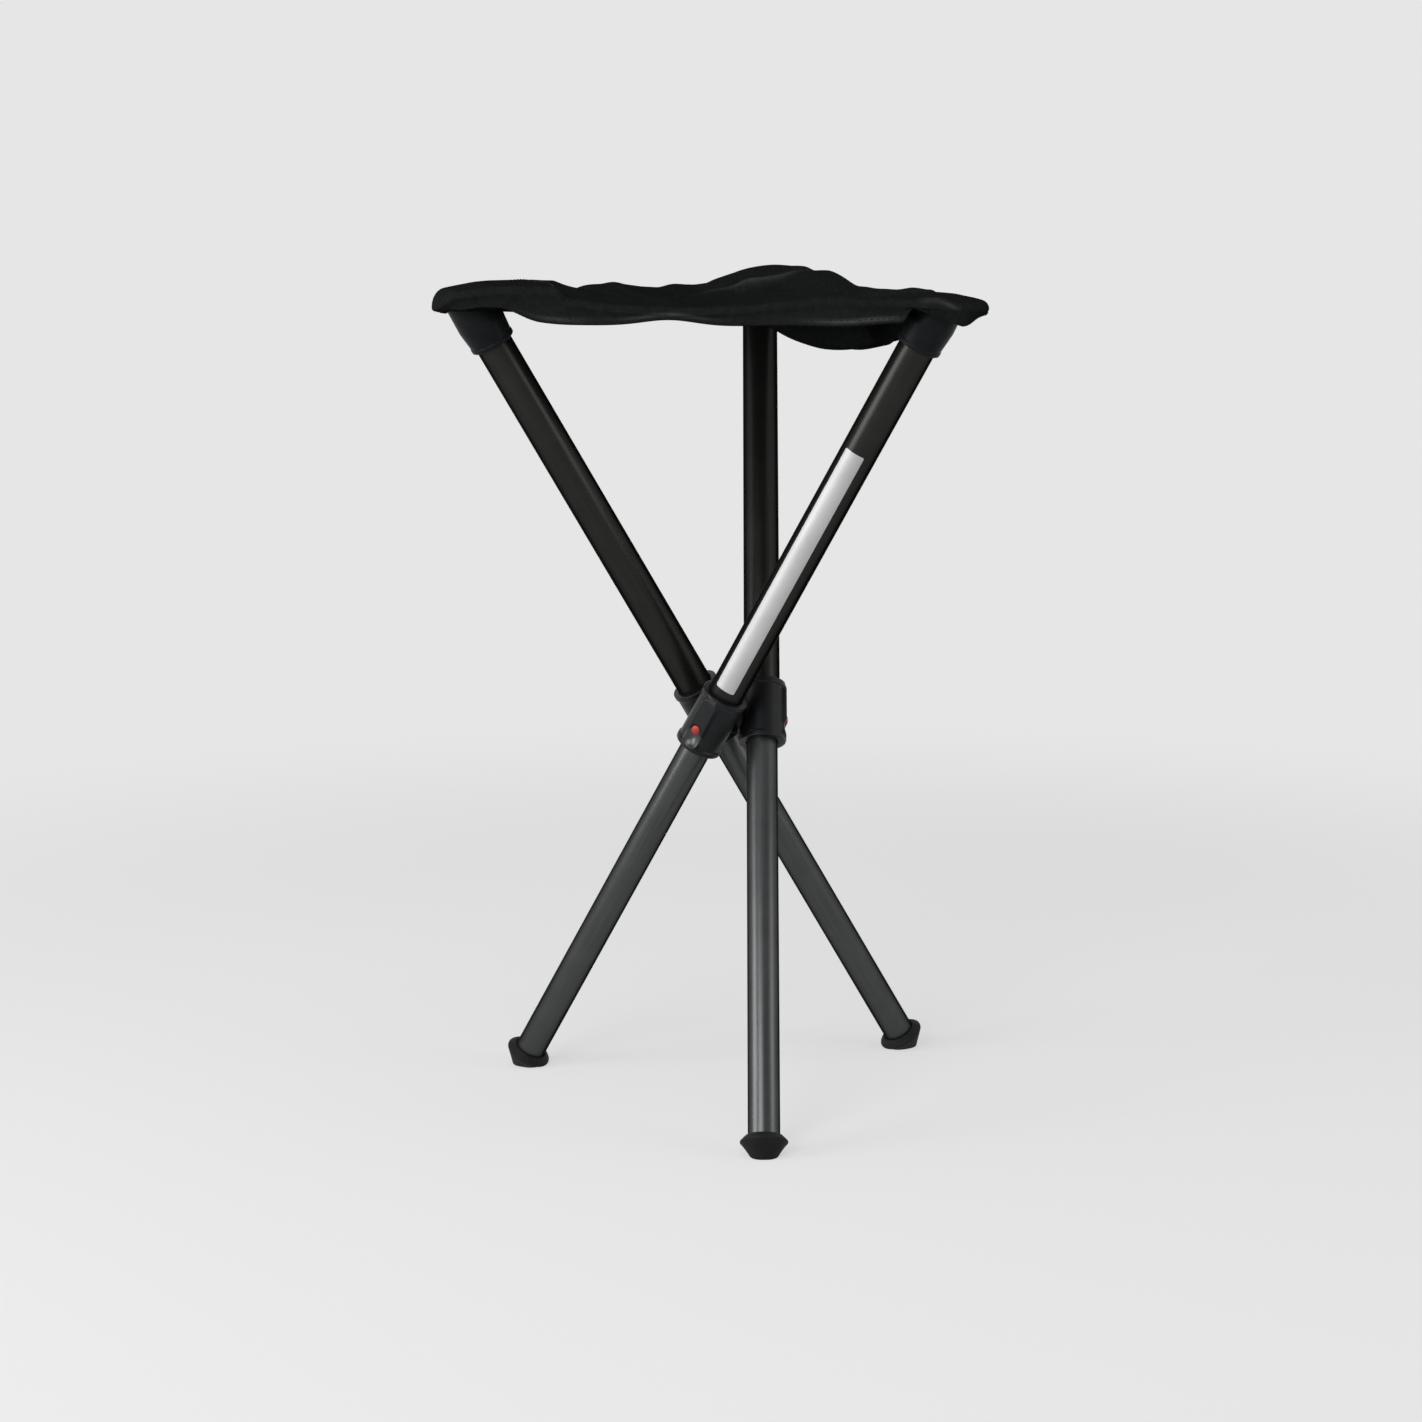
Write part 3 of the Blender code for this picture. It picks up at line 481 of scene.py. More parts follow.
def sleeve_skin(turn, height, low, high):
    """Radius of the sleeve's outside at an angle and a height: the barrel and lips, then the flat pad and
    boss, each a plane face / |cos a| inside its own outline, then the scoop's dish and the button's hole cut
    into the pad."""
    past_lip = np.minimum(height - low, high - height) - SLEEVE_LIP_LENGTH
    barrel = SLEEVE_R + SLEEVE_LIP_RISE * (1 - smooth(past_lip, -SLEEVE_LIP_EASE, SLEEVE_LIP_EASE))
    side = np.cos(turn)
    flat = np.maximum(np.abs(side), 0.5)
    across = PAD_FACE * np.sin(turn) / flat
    middle = (PAD_ABOVE - PAD_BELOW) / 2
    over_x = np.abs(across) - PAD_HALF_WIDTH + PAD_CORNER
    over_z = np.abs(height - middle) - (PAD_ABOVE + PAD_BELOW) / 2 + PAD_CORNER
    outside = np.hypot(np.maximum(over_x, 0), np.maximum(over_z, 0))
    outside = outside + np.minimum(np.maximum(over_x, over_z), 0)
    pad = (1 - smooth(outside - PAD_CORNER, -PAD_EDGE, PAD_EDGE)) * (side > 0)
    dish = np.hypot(across, height + SCOOP_DROP) / SCOOP_R
    from_button = np.hypot(across, height + BUTTON_DROP) - BUTTON_R
    hole = 1 - smooth(from_button, BUTTON_GAP, BUTTON_GAP + HOLE_WALL)
    face = PAD_FACE - SCOOP_DEPTH * np.maximum(1 - dish**2, 0) * smooth(1 - dish, 0.0, SCOOP_LIP)
    face = face - (face - PAD_FACE + BUTTON_HOLE) * hole
    skin = barrel + (face / flat - barrel) * pad
    boss = (1 - smooth(np.hypot(across, height), BOSS_R - BOSS_EDGE, BOSS_R + BOSS_EDGE)) * (side < 0)
    return skin + (np.maximum(BOSS_FACE / flat, skin) - skin) * boss


def sleeve_rows(low, high, tube_bore, slide_bore):
    """Rings from the step in the bore, down and over the lower end, up the outside and over the upper end.
    Points lie closer together round the button and the scoop."""
    fine = np.radians(np.linspace(-FINE_HALF, FINE_HALF, 181))
    coarse = np.radians(np.linspace(FINE_HALF, 360 - FINE_HALF, 137)[1:-1])
    turn = np.concatenate([fine, coarse])
    below = np.linspace(low + SLEEVE_EDGE, FINE_LOW, 40)[:-1]
    beside = np.linspace(FINE_LOW, FINE_HIGH, 73)[:-1]
    above = np.linspace(FINE_HIGH, high - SLEEVE_EDGE, 62)
    height = np.concatenate([below, beside, above])
    radius = sleeve_skin(turn[None], height[:, None], low, high)
    curve = np.linspace(0, math.pi / 2, 5)[1:]
    drawn_in = SLEEVE_EDGE * (1 - np.cos(curve))[:, None]
    past = SLEEVE_EDGE * np.sin(curve)
    radii = [radius[:1] - drawn_in[::-1], radius, radius[-1:] - drawn_in]
    levels = [height[0] - past[::-1], height, height[-1] + past]
    bore = np.repeat([[tube_bore], [slide_bore], [slide_bore], [tube_bore]], len(turn), axis=1)
    radii = np.concatenate([bore[:3], *radii, bore[3:]])
    levels = np.concatenate([[BORE_STEP, BORE_STEP, low], *levels, [high]])
    levels = np.repeat(levels[:, None], len(turn), axis=1)
    return np.stack([radii * np.cos(turn), radii * np.sin(turn), levels], -1)


for leg in LEGS:
    low, high, _ = reach(f"joint_sleeve_{leg}", leg)
    upper_r = reach(f"upper_tube_{leg}", leg)[2]
    lower_r = reach(f"lower_tube_{leg}", leg)[2]
    rows = sleeve_rows(low, high, upper_r + SLEEVE_TUBE_GAP, lower_r + SLEEVE_SLIDE_GAP)
    # Fingers polish the scoop, most in its middle.
    from_scoop = np.hypot(rows[..., 1], rows[..., 2] + SCOOP_DROP) / SCOOP_R
    polish = smooth(1 - from_scoop, 0.0, 0.4) * (rows[..., 0] > 0)
    rows = on_leg(rows, leg)
    piece = surface(f"hub_sleeve_{leg}", rows, slate_nylon, ends="loop", polish_and_painted_sheen=polish, sharp=48.0)
    fit(piece, f"upper_leg_{leg}", "black_plastic", f"joint_sleeve_{leg}")

# Lock buttons
# A round red button stands in the upper end of each scoop. Pressed, it pushes the lock pin out of the tube.
# It is a smooth glossy moulding with a low domed top and a tapered body.

BUTTON_PROUD = 0.0005
BUTTON_BODY = 0.0020
BUTTON_TAPER = 0.8
BUTTON_SIDES = 64
BUTTON_ROUNDING = (0, 0.0007, 0.0012, 0.0008)
# Each ring's share of the button's radius, and its height over the pad.
BUTTON_PROFILE = (
    (BUTTON_TAPER, -BUTTON_BODY),
    (1.0, -0.0006),
    (0.80, BUTTON_PROUD - 0.0003),
    (0.35, BUTTON_PROUD),
)

red_moulding = Finish("red_moulding", Specular_IOR_Level=0.45)
red_cloud = red_moulding.noise(300.0, 2.0)
red_moulding.feed("Base Color", red_cloud.tint((0.29, 0.014, 0.012), (0.37, 0.022, 0.018)))
red_moulding.feed("Roughness", 0.34 + 0.1 * red_cloud)
red_moulding.bump(red_cloud, 0.00002)

for leg in LEGS:
    keys = [circle(BUTTON_R * share, PAD_FACE + rise, BUTTON_SIDES) for share, rise in BUTTON_PROFILE]
    rows = rounded(keys, BUTTON_ROUNDING, steps=6)
    lying = np.stack([rows[..., 2], rows[..., 0], rows[..., 1] - BUTTON_DROP], -1)
    piece = surface(f"red_button_{leg}", on_leg(lying, leg), red_moulding)
    fit(piece, f"button_{leg}", "red_plastic", f"lock_button_{leg}")

# Top fittings
# A nylon fitting is pressed on the top of each upper tube: a collar round the tube with a thicker rim below,
# and a flat rounded head over it that the seat's corner pocket is pulled over.

COLLAR_R = 0.0133
COLLAR_TOP_R = 0.0144
COLLAR_RIM = 0.0003
COLLAR_RAISE = {"a": 0.002, "b": 0.003, "c": 0.0015}
COLLAR_BORE = 0.0126
COLLAR_FIT = 0.0002
COLLAR_CONE = 0.017
RIM_HEIGHT = 0.0024
RIM_STEP = 0.0005
HEAD_PLATE = 0.006
HEAD_IN = 0.017
HEAD_SHIFT = 0.003
HEAD_SINK = {"a": 0.001, "b": 0.001, "c": 0.005}
FITTING_ROUNDING = (0, 0.0003, 0.0006, 0.0004, 0.0004, 0.0015, 0.0015, 0.0012)


def head_ring(leg, inset, height):
    """A flat lens over the tube's end: a circle of the collar's size, whose half towards the seat's middle is
    stretched to HEAD_IN."""
    axes, pivot = leg_axes(leg)
    turn = np.arange(TUBE_SIDES) * 2 * math.pi / TUBE_SIDES
    lean = axes[2, :2] / np.linalg.norm(axes[2, :2])
    length = np.where(np.sin(turn) < 0, HEAD_IN, COLLAR_R) - inset
    plan = np.outer((COLLAR_R - inset) * np.cos(turn), axes[0, :2]) + np.outer(length * np.sin(turn), lean)
    centre = (height - pivot[2]) / axes[2, 2] * axes[2, :2] + HEAD_SHIFT * lean
    return np.column_stack([plan + centre, np.full(TUBE_SIDES, height - pivot[2])]) @ axes.T


for leg in LEGS:
    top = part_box(f"top_fitting_{leg}")[1].z - HEAD_SINK[leg]
    end = reach(f"top_fitting_{leg}", leg)[0]
    low = end + COLLAR_RAISE[leg]
    upper_r = reach(f"upper_tube_{leg}", leg)[2]
    keys = [
        circle(upper_r + COLLAR_FIT, end + COLLAR_BORE),
        circle(upper_r + COLLAR_FIT, low),
        circle(COLLAR_R + COLLAR_RIM, low),
        circle(COLLAR_R + COLLAR_RIM, low + RIM_HEIGHT),
        circle(COLLAR_R - 0.0001, low + RIM_HEIGHT + RIM_STEP),
        circle(COLLAR_TOP_R, end + COLLAR_CONE),
        head_ring(leg, 0.0002, top - HEAD_PLATE),
        head_ring(leg, 0.0, top),
    ]
    rows = on_leg(rounded(keys, FITTING_ROUNDING), leg)
    piece = surface(f"seat_fitting_{leg}", rows, black_nylon, sharp=50.0)
    fit(piece, f"upper_leg_{leg}", "black_plastic", f"top_fitting_{leg}")

# Seat
# The seat is one triangle of heavy woven black polyester. Its edges are turned down into a deep hem, a second
# layer is sewn on over each corner, and between the corners the slack cloth sags, with a belly at the right
# of its middle.

CLOTH = 0.0014
SEAT_CORNER_R = 0.0190
EDGE_BOW = 0.006
FRONT_EDGE = 1

# How the slack cloth hangs. A side's sag is a depth, then the shares of that edge's length where it starts,
# is full, eases and ends.
CENTRE_SAG = 0.018
FRONT_SAG = 0.0105
SIDE_SAGS = {
    0: ((0.0058, 0.0, 0.12, 0.32, 0.50), (0.0038, 0.10, 0.20, 0.61, 0.67), (-0.0030, 0.66, 0.76, 0.84, 1.0)),
    2: ((0.0077, 0.02, 0.42, 0.52, 0.71), (-0.0003, 0.66, 0.76, 0.85, 1.0)),
}
NOTCH_DEPTH = 0.0020
NOTCH_AT = 0.605
NOTCH_WIDTH = 0.030
BELLY = np.array([0.100, -0.042])
BELLY_DEPTH = 0.0233
BELLY_SPREAD = np.array([0.073, 0.046])
HOLLOW = np.array([-0.014, 0.102])
HOLLOW_DEPTH = 0.003
HOLLOW_SPREAD = 0.034
SLACK = {"a": (0.030, 0.064), "b": (0.040, 0.092), "c": (0.020, 0.050)}

# Pleats, crumples, the folds that fan out from the corners, and the one across the back corner
PLEATS = np.array([0.098, -0.070])
PLEAT_SPREAD = np.array([0.034, 0.050])
PLEAT_PITCH = 0.0085
PLEAT_SLANT = 0.1
PLEAT_DEPTH = 0.0006
CREASE_SEED = 11
CREASE_COUNT = 12
CREASE_LENGTHS = (0.014, 0.040)
CREASE_SLOPE = 0.252
FAN_FOLDS = 15
FAN_DEPTH = 0.0011
FAN_REACH = (0.045, 0.075, 0.085, 0.170)
FOLD_IN = 0.053
FOLD_SLANT = 0.022
FOLD_BOW = 6.0
FOLD_MIDDLE = 0.008
FOLD_HALF = 0.034
TUCK_RIDGE = 0.0042
TUCK_VALLEY = 0.0048
TUCK_WIDTH = 0.0042
TUCK_BEHIND = 0.008

# The patch over each corner, and the ear that the corner's tip makes
PATCH_LENGTH = {"a": 0.042, "b": 0.056, "c": 0.047}
PATCH_BOW = 4.0
PATCH_SINK = 0.0010
PATCH_SEAM = {"a": (-0.008, 0.012), "b": (-0.002, 0.005), "c": (-0.002, 0.005)}
PATCH_STEP = {"a": 0.0010, "b": 0.0012, "c": 0.0012}
PATCH_EASE = 0.030
PATCH_FALL = {"a": 0.0085, "b": 0.0, "c": 0.0}
PATCH_PEAK = {"a": 0.029, "b": 0.0, "c": 0.0}
PATCH_CROWN = {"a": (52.0, 110.0), "b": (12.0, 12.0), "c": (12.0, 12.0)}
EAR_RISE = {"a": 0.0015, "b": 0.0032, "c": -0.0042}
EAR_DROOP = {"a": 0.002, "b": 0.0050, "c": 0.0030}
EAR_BLUNT = {"a": 0.0, "b": 0.0052, "c": 0.0}
EAR_LIFT = {"a": 0.001, "b": 0.0012, "c": 0.0048}
EAR_ROUND = {"a": 0.003, "b": 0.0080, "c": 0.001}
EAR_TUCK = {"a": 0.0045, "b": 0.0070, "c": 0.0030}
HEAD_LUMP = 0.0012
HEAD_LUMP_R = 0.017
HEAD_LUMP_IN = 0.002
CRIMP_DEPTH = 0.00030
CRIMP_ACROSS = 190.0
CRIMP_INWARD = 60.0

# The hem. A wave is a place along the edge, a width and a rise.
HEM_ROUND = 0.0045
HEM_DEPTH = 0.012
ROLL_LENGTH = 0.0072
HEM_LOW = {"a": 0.4822, "b": 0.4849, "c": 0.4800}
HEM_DIP = 0.0032
FRONT_WAVES = ((0.10, 0.07, 0.0030), (0.44, 0.075, 0.0036), (0.68, 0.12, 0.0018), (0.88, 0.09, 0.0022))
SIDE_WAVES = ((0.22, 0.09, 0.0020), (0.55, 0.08, 0.0026), (0.80, 0.07, 0.0018))
FRONT_FLARE = 0.0028
SIDE_FLARE = 0.0016
FLARE_RIPPLE = 0.0008
HEM_HOLLOW = 0.0009
BEAD_RISE = 0.00045
BEAD_GROOVE = 0.00035
LEFT_ARCH = 0.0042
LEFT_ARCH_SPAN = (-0.170, -0.152, -0.128, -0.104)
RIGHT_ARCH = 0.0085
RIGHT_ARCH_START = (0.102, 0.109)
RIGHT_ARCH_FALL = 0.0088
RIGHT_ARCH_LENGTH = 0.027

# Where highlights are painted pale on the cloth. A spot is a place along the edge, a width and how strong its
# painted highlight is.
HIGHLIGHT_SPOTS = ((0.22, 0.05, 0.6), (0.43, 0.08, 0.8), (0.82, 0.09, 1.0))
HIGHLIGHT_END = (0.885, 0.92)
SIDE_HIGHLIGHT = 0.4
HIGHLIGHT_ABOVE = 0.0022
HIGHLIGHT_WIDTH = 0.0011
FOLD_HIGHLIGHT = 0.7
FOLD_HIGHLIGHT_WIDTH = 0.0022
CREST_HIGHLIGHT = 0.5
CREST_LEVEL = 0.4938
CREST_FALL = 0.0055
CREST_BEND = (0.121, 0.137)
CREST_SPAN = (0.109, 0.118, 0.130, 0.137)
CREST_WIDTH = 0.0013
CREST_ROWS = 8

# The grid, the weave and the seams
EDGE_POINTS = 120
CORNER_POINTS = 64
TOP_ROWS = 84
ROLL_ROWS = 8
HEM_ROWS = 16
STITCHED_ROW = TOP_ROWS + ROLL_ROWS + 11
WEAVE = 0.0008
SEAM_POINTS = 161
SEAM_INSET = 0.0040
SEAM_BACK = 0.006
SEAM_SHORT = 0.007

seat_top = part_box("seat_panel")[1].z
corner_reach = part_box("seat_panel")[1].y - hub_axis[1] - SEAT_CORNER_R
corner_side = np.linalg.norm((np.array(joints["fold_a"]["pos_m"]) - hub_axis)[:2])


def spun(plan, turns):
    """Points turned about the hub's upright axis by a third of a turn, turns times."""
    angle = turns * 2 * math.pi / 3
    turn = np.array([[math.cos(angle), -math.sin(angle)], [math.sin(angle), math.cos(angle)]])
    return np.asarray(plan) @ turn.T


corners = {leg: spun([corner_side, corner_reach], at) for at, leg in enumerate(LEGS)}
outward = {leg: corners[leg] / np.linalg.norm(corners[leg]) for leg in LEGS}
rightward = {leg: np.array([outward[leg][1], -outward[leg][0]]) for leg in LEGS}


def corner_place(plan, leg):
    """How far points lie in from a corner's middle towards the seat's middle, and how far to the right of
    that line."""
    from_corner = plan - corners[leg]
    return -(from_corner @ outward[leg]), from_corner @ rightward[leg]


def swell(value, start, full, ease, end):
    """0 outside start and end, 1 between full and ease, and smooth flanks."""
    return smooth(value, start, full) * (1 - smooth(value, ease, end))


def bell(value, middle, width):
    """The bump e^-((value - middle) / width)^2."""
    return np.exp(-(((value - middle) / width) ** 2))


def plateau(plan, middle, spread):
    """The flat-topped bump e^-d^4 over plan points, where d is their distance from its middle in spreads."""
    return np.exp(-(np.linalg.norm((plan - middle) / spread, axis=-1) ** 4))


def edge_sag(edge, share):
    """How far an edge hangs below its corners at a share of its length. The back left edge hangs most close
    to the back corner and ends in a small step, the front one hangs evenly, and the back right one past its
    middle."""
    if edge == FRONT_EDGE:
        return FRONT_SAG * np.sin(math.pi * share) ** 2
    sag = sum(depth * swell(share, *span) for depth, *span in SIDE_SAGS[edge])
    if edge == 0:
        sag = sag + NOTCH_DEPTH * bell(share, NOTCH_AT, NOTCH_WIDTH)
    return sag


def hem_level(edge, share):
    """Height of the hem's lower rim along an edge: from corner to corner, with shallow waves."""
    ends = HEM_LOW[LEGS[edge]] * (1 - share) + HEM_LOW[LEGS[(edge + 1) % 3]] * share
    shape = FRONT_WAVES if edge == FRONT_EDGE else SIDE_WAVES
    waves = sum(rise * bell(share, at, wide) for at, wide, rise in shape)
    return ends - HEM_DIP * swell(share, 0, 0.25, 0.75, 1) + waves * swell(share, 0, 0.06, 0.94, 1)


def hem_flare(edge, share):
    """How far the hem's lower rim stands out from the edge above it, most in the middle of the front."""
    most = FRONT_FLARE if edge == FRONT_EDGE else SIDE_FLARE
    return (most + FLARE_RIPPLE * np.sin(9 * share + edge)) * np.sin(math.pi * share)


def painted_hem_highlight(edge, share):
    """How strong a painted highlight is along the hem's lower edge: three stretches of the front, and the
    others faintly.
    """
    pale = sum(much * bell(share, at, wide) for at, wide, much in HIGHLIGHT_SPOTS)
    return (pale if edge == FRONT_EDGE else SIDE_HIGHLIGHT * pale) * (1 - smooth(share, *HIGHLIGHT_END))


def painted_head_highlight(points, facing):
    """A painted highlight on the cloth where the fitting's head presses on it at the front of corner c: a
    short crest on the turned edge that runs down to the right."""
    x, height = points[..., 0], points[..., 2]
    crest = CREST_LEVEL - CREST_FALL * smooth(x, *CREST_BEND)
    stretch = swell(x, *CREST_SPAN) * smooth(-facing, 0.3, 0.8)
    return CREST_HIGHLIGHT * stretch * bell(height, crest, CREST_WIDTH)


def collar_arch(x, facing):
    """How far the front hem's lower rim rides up over the two front collars, by its place across the seat."""
    left = LEFT_ARCH * swell(x, *LEFT_ARCH_SPAN)
    past = np.clip((x - RIGHT_ARCH_START[1]) / RIGHT_ARCH_LENGTH, 0, 1)
    right = smooth(x, *RIGHT_ARCH_START) * (RIGHT_ARCH - RIGHT_ARCH_FALL * past)
    return (left + right) * smooth(-facing, 0.1, 0.6)


def creases(plan):
    """Soft crumples of the slack cloth: twelve plane waves of 14 to 40 mm in fixed pseudo-random directions,
    the longer ones deeper."""
    draw = np.random.default_rng(CREASE_SEED)
    turn = draw.uniform(0, 2 * math.pi, CREASE_COUNT)
    wave = 2 * math.pi / draw.uniform(*CREASE_LENGTHS, CREASE_COUNT)
    phase = draw.uniform(0, 2 * math.pi, CREASE_COUNT)
    along = plan[..., :1] * np.cos(turn) + plan[..., 1:] * np.sin(turn)
    return CREASE_SLOPE * (np.sin(along * wave + phase) / wave).mean(-1)


def back_fold(plan):
    """The fold across the back corner, which runs inwards at its left end: how far in front of its crest
    points lie, and a weight that is 1 in its middle and fades at its ends."""
    inward, across = corner_place(plan, "a")
    crest = FOLD_IN + FOLD_SLANT * smooth(-across, -0.002, 0.030) - FOLD_BOW * np.maximum(across, 0) ** 2
    return inward - crest, np.exp(-(((across - FOLD_MIDDLE) / FOLD_HALF) ** 4))


def seat_height(plan, ring, sag):
    """Height of the seat's upper side over points of its plan. ring is 0 in the middle and 1 on the edge, and
    sag how far the edge hangs there. The sheet hangs by its sag, the belly and folds that fan out from the
    corners, and over each corner it passes into a stiff, nearly level patch."""
    far = {leg: np.linalg.norm(plan - corners[leg], axis=-1) for leg in LEGS}
    slack = np.prod([smooth(far[leg], *SLACK[leg]) for leg in LEGS], axis=0)
    hang = sag * ring**2 + CENTRE_SAG * (1 - ring**2)
    belly = BELLY_DEPTH * plateau(plan, BELLY, BELLY_SPREAD) * (1 - ring**12)
    from_hollow = np.linalg.norm(plan - HOLLOW, axis=-1)
    hollow = HOLLOW_DEPTH * bell(from_hollow, 0, HOLLOW_SPREAD) * (1 - ring**6)
    level = seat_top - slack * (hang + belly + hollow)
    level = level + creases(plan) * (0.25 + 0.75 * slack)
    for at, leg in enumerate(LEGS):
        inward, across = corner_place(plan, leg)
        fan = np.arctan2(across, np.maximum(inward, 1e-4))
        fold = np.sin(FAN_FOLDS * fan + 2.1 * at) * swell(far[leg], *FAN_REACH)
        level = level + FAN_DEPTH * fold * (inward > 0)
    for leg in LEGS:
        inward, across = corner_place(plan, leg)
        seam = inward + across**2 * PATCH_BOW - PATCH_LENGTH[leg]
        patch = 1 - smooth(seam, *PATCH_SEAM[leg])
        step = PATCH_STEP[leg] * smooth(-seam, -PATCH_EASE, 0.0)
        lean = across - PATCH_PEAK[leg]
        crown = np.where(lean < 0, *PATCH_CROWN[leg]) * np.abs(lean) ** 3
        fall = PATCH_FALL[leg] * smooth(inward, -0.004, 0.046) * (1 - ring**4)
        ear = EAR_RISE[leg] - crown - fall - EAR_DROOP[leg] * smooth(-inward, -0.022, 0.019)
        lump = HEAD_LUMP * plateau(np.stack([inward, across], -1), (HEAD_LUMP_IN, 0), HEAD_LUMP_R)
        crimp = CRIMP_DEPTH * np.sin(across * CRIMP_ACROSS + inward * CRIMP_INWARD)
        stiff = seat_top - PATCH_SINK + ear + lump + crimp * smooth(inward, -0.01, 0.03)
        level = level - step * (1 - patch)
        level = level + (stiff - level) * patch
    line, middle = back_fold(plan)
    tuck = TUCK_RIDGE * bell(line, 0, TUCK_WIDTH) - TUCK_VALLEY * bell(line, -TUCK_BEHIND, TUCK_WIDTH)
    level = level + tuck * middle * (1 - ring**8)
    pleat = np.sin(2 * math.pi * (plan[..., 1] + PLEAT_SLANT * plan[..., 0]) / PLEAT_PITCH)
    return level + PLEAT_DEPTH * pleat * plateau(plan, PLEATS, PLEAT_SPREAD) * (1 - ring**6)


def seat_edge(at):
    """Half of one edge, a corner's arc and half of the next edge, as plan points and outward normals, with
    the hem's sag, lower rim, flare and painted highlight there, and how near each point is to the corner's
    tip. The arc is tangent to both edges, and a blunter corner has a larger one, further in."""
    corner = np.array([corner_side, corner_reach])
    leg = LEGS[at]
    cut = EAR_BLUNT[leg] / math.tan(math.pi / 6) / np.linalg.norm(spun(corner, 1) - corner)
    parts = []
    for edge, start, share in (
        ((at + 2) % 3, spun(corner, -1), np.linspace(0.5, 1 - cut, EDGE_POINTS)),
        (at, corner, np.linspace(cut, 0.5, EDGE_POINTS)),
    ):
        chord = spun(start, 1) - start
        normal = np.array([chord[1], -chord[0]]) / np.linalg.norm(chord)
        offset = SEAT_CORNER_R - EDGE_BOW * np.sin(math.pi * share)
        points = start + np.outer(share, chord) + np.outer(offset, normal)
        facts = [made(edge, share) for made in (edge_sag, hem_level, hem_flare, painted_hem_highlight)]
        parts.append((points, np.repeat(normal[None], EDGE_POINTS, axis=0), *facts))
    first, last = (np.arctan2(part[1][0, 1], part[1][0, 0]) for part in parts)
    turn = np.linspace(first, last if last > first else last + 2 * math.pi, CORNER_POINTS + 2)[1:-1]
    normals = np.stack([np.cos(turn), np.sin(turn)], -1)
    tip = np.sin(np.linspace(0, math.pi, CORNER_POINTS + 2)[1:-1]) ** 2
    low = np.full(CORNER_POINTS, HEM_LOW[leg])
    centre = corner - 2 * EAR_BLUNT[leg] * corner / np.linalg.norm(corner)
    radius = SEAT_CORNER_R + EAR_BLUNT[leg] - EDGE_BOW * math.sin(math.pi * cut) * (1 - tip)
    curve = centre + radius[:, None] * normals
    none = np.zeros(CORNER_POINTS)
    arc = (curve, normals, none, low, none, none)
    joined = [np.concatenate(group) for group in zip(parts[0], arc, parts[1])]
    points, normals = (spun(plan, at) for plan in joined[:2])
    sag, low, flare, painted_highlight = joined[2:]
    near = 1 - smooth(np.linalg.norm(points - corners[leg], axis=1), 0.022, 0.060)
    low = low + collar_arch(points[:, 0], normals[:, 1])
    low = low + EAR_LIFT[leg] * near * smooth(np.abs(normals[:, 0]), 0.2, 1.0)
    ear = np.concatenate([np.zeros(EDGE_POINTS), tip, np.zeros(EDGE_POINTS)])
    return points, normals, sag, low, flare, painted_highlight, ear


def seat_rows(at):
    """Rows from the seat's middle out over its upper side, round the turned edge, down the hem, and back
    along the inside at the cloth's thickness, with the flat pattern's place of each point and how strong a
    highlight is painted on it."""
    edge, normal, sag, low, flare, painted_highlight, ear = seat_edge(at)
    rounding = HEM_ROUND + EAR_ROUND[LEGS[at]] * ear
    rim = edge - rounding[:, None] * normal
    ring = np.linspace(0, 1, TOP_ROWS)[:, None] ** 0.9
    plan = ring[..., None] * rim[None]
    top = seat_height(plan, ring, sag[None])
    turn = np.linspace(0, math.pi / 2, ROLL_ROWS + 1)[1:, None]
    drop = np.linspace(0, 1, HEM_ROWS + 1)[1:, None]
    shoulder = top[-1] - rounding
    bulge = flare * drop**2 - HEM_HOLLOW * np.sin(math.pi * drop) * (1 - ear)
    bulge = bulge - EAR_TUCK[LEGS[at]] * ear * drop**3
    bead = BEAD_RISE * bell(drop, 0.93, 0.07) - BEAD_GROOVE * bell(drop, 0.76, 0.05)
    bead = bead * (1 - smooth(ear, 0.0, 0.3))
    hem_z = shoulder + (low - shoulder) * drop

    def side(inset):
        """The same run of rows, a distance under the outer face."""
        roll_out = (rounding - inset) * np.sin(turn)
        roll_z = shoulder + (rounding - inset) * np.cos(turn)
        out = rounding + bulge + bead * (1 if inset == 0 else -0.3) - inset
        flat = np.concatenate([plan, rim + roll_out[..., None] * normal, rim + out[..., None] * normal])
        return np.concatenate([flat, np.concatenate([top - inset, roll_z, hem_z])[..., None]], -1)

    outer, inner = side(0.0), side(CLOTH)
    lip = (outer[-1] + inner[-1]) / 2 - np.array([0, 0, CLOTH / 2])
    rows = np.concatenate([outer, lip[None], lip[None], inner[::-1]])
    roll = ROLL_LENGTH * np.arange(1, ROLL_ROWS + 1) / ROLL_ROWS
    depth = np.concatenate([np.zeros(TOP_ROWS), roll, ROLL_LENGTH + HEM_DEPTH * drop[:, 0]])
    past_rim = np.repeat(rim[None], ROLL_ROWS + HEM_ROWS, axis=0)
    pattern = np.concatenate([plan, past_rim]) + depth[:, None, None] * normal
    pattern = np.concatenate([pattern, pattern[-1:], pattern[-1:], pattern[::-1]])
    polish_and_painted_sheen = np.zeros(rows.shape[:2])
    # A painted highlight along the crest of the back fold.
    line, middle = back_fold(plan)
    polish_and_painted_sheen[:TOP_ROWS] = FOLD_HIGHLIGHT * middle * bell(line, 0, FOLD_HIGHLIGHT_WIDTH)
    # A painted highlight along the hem's lower rim, just above its edge.
    polish_and_painted_sheen[TOP_ROWS : len(outer)] = painted_highlight * bell(outer[TOP_ROWS:, :, 2], low + HIGHLIGHT_ABOVE, HIGHLIGHT_WIDTH)
    # A painted highlight over the head of corner c.
    near_rim = TOP_ROWS - CREST_ROWS
    polish_and_painted_sheen[near_rim : len(outer)] += painted_head_highlight(outer[near_rim:], normal[:, 1])
    rows[..., :2] += hub_axis[:2]
    return rows, pattern, polish_and_painted_sheen


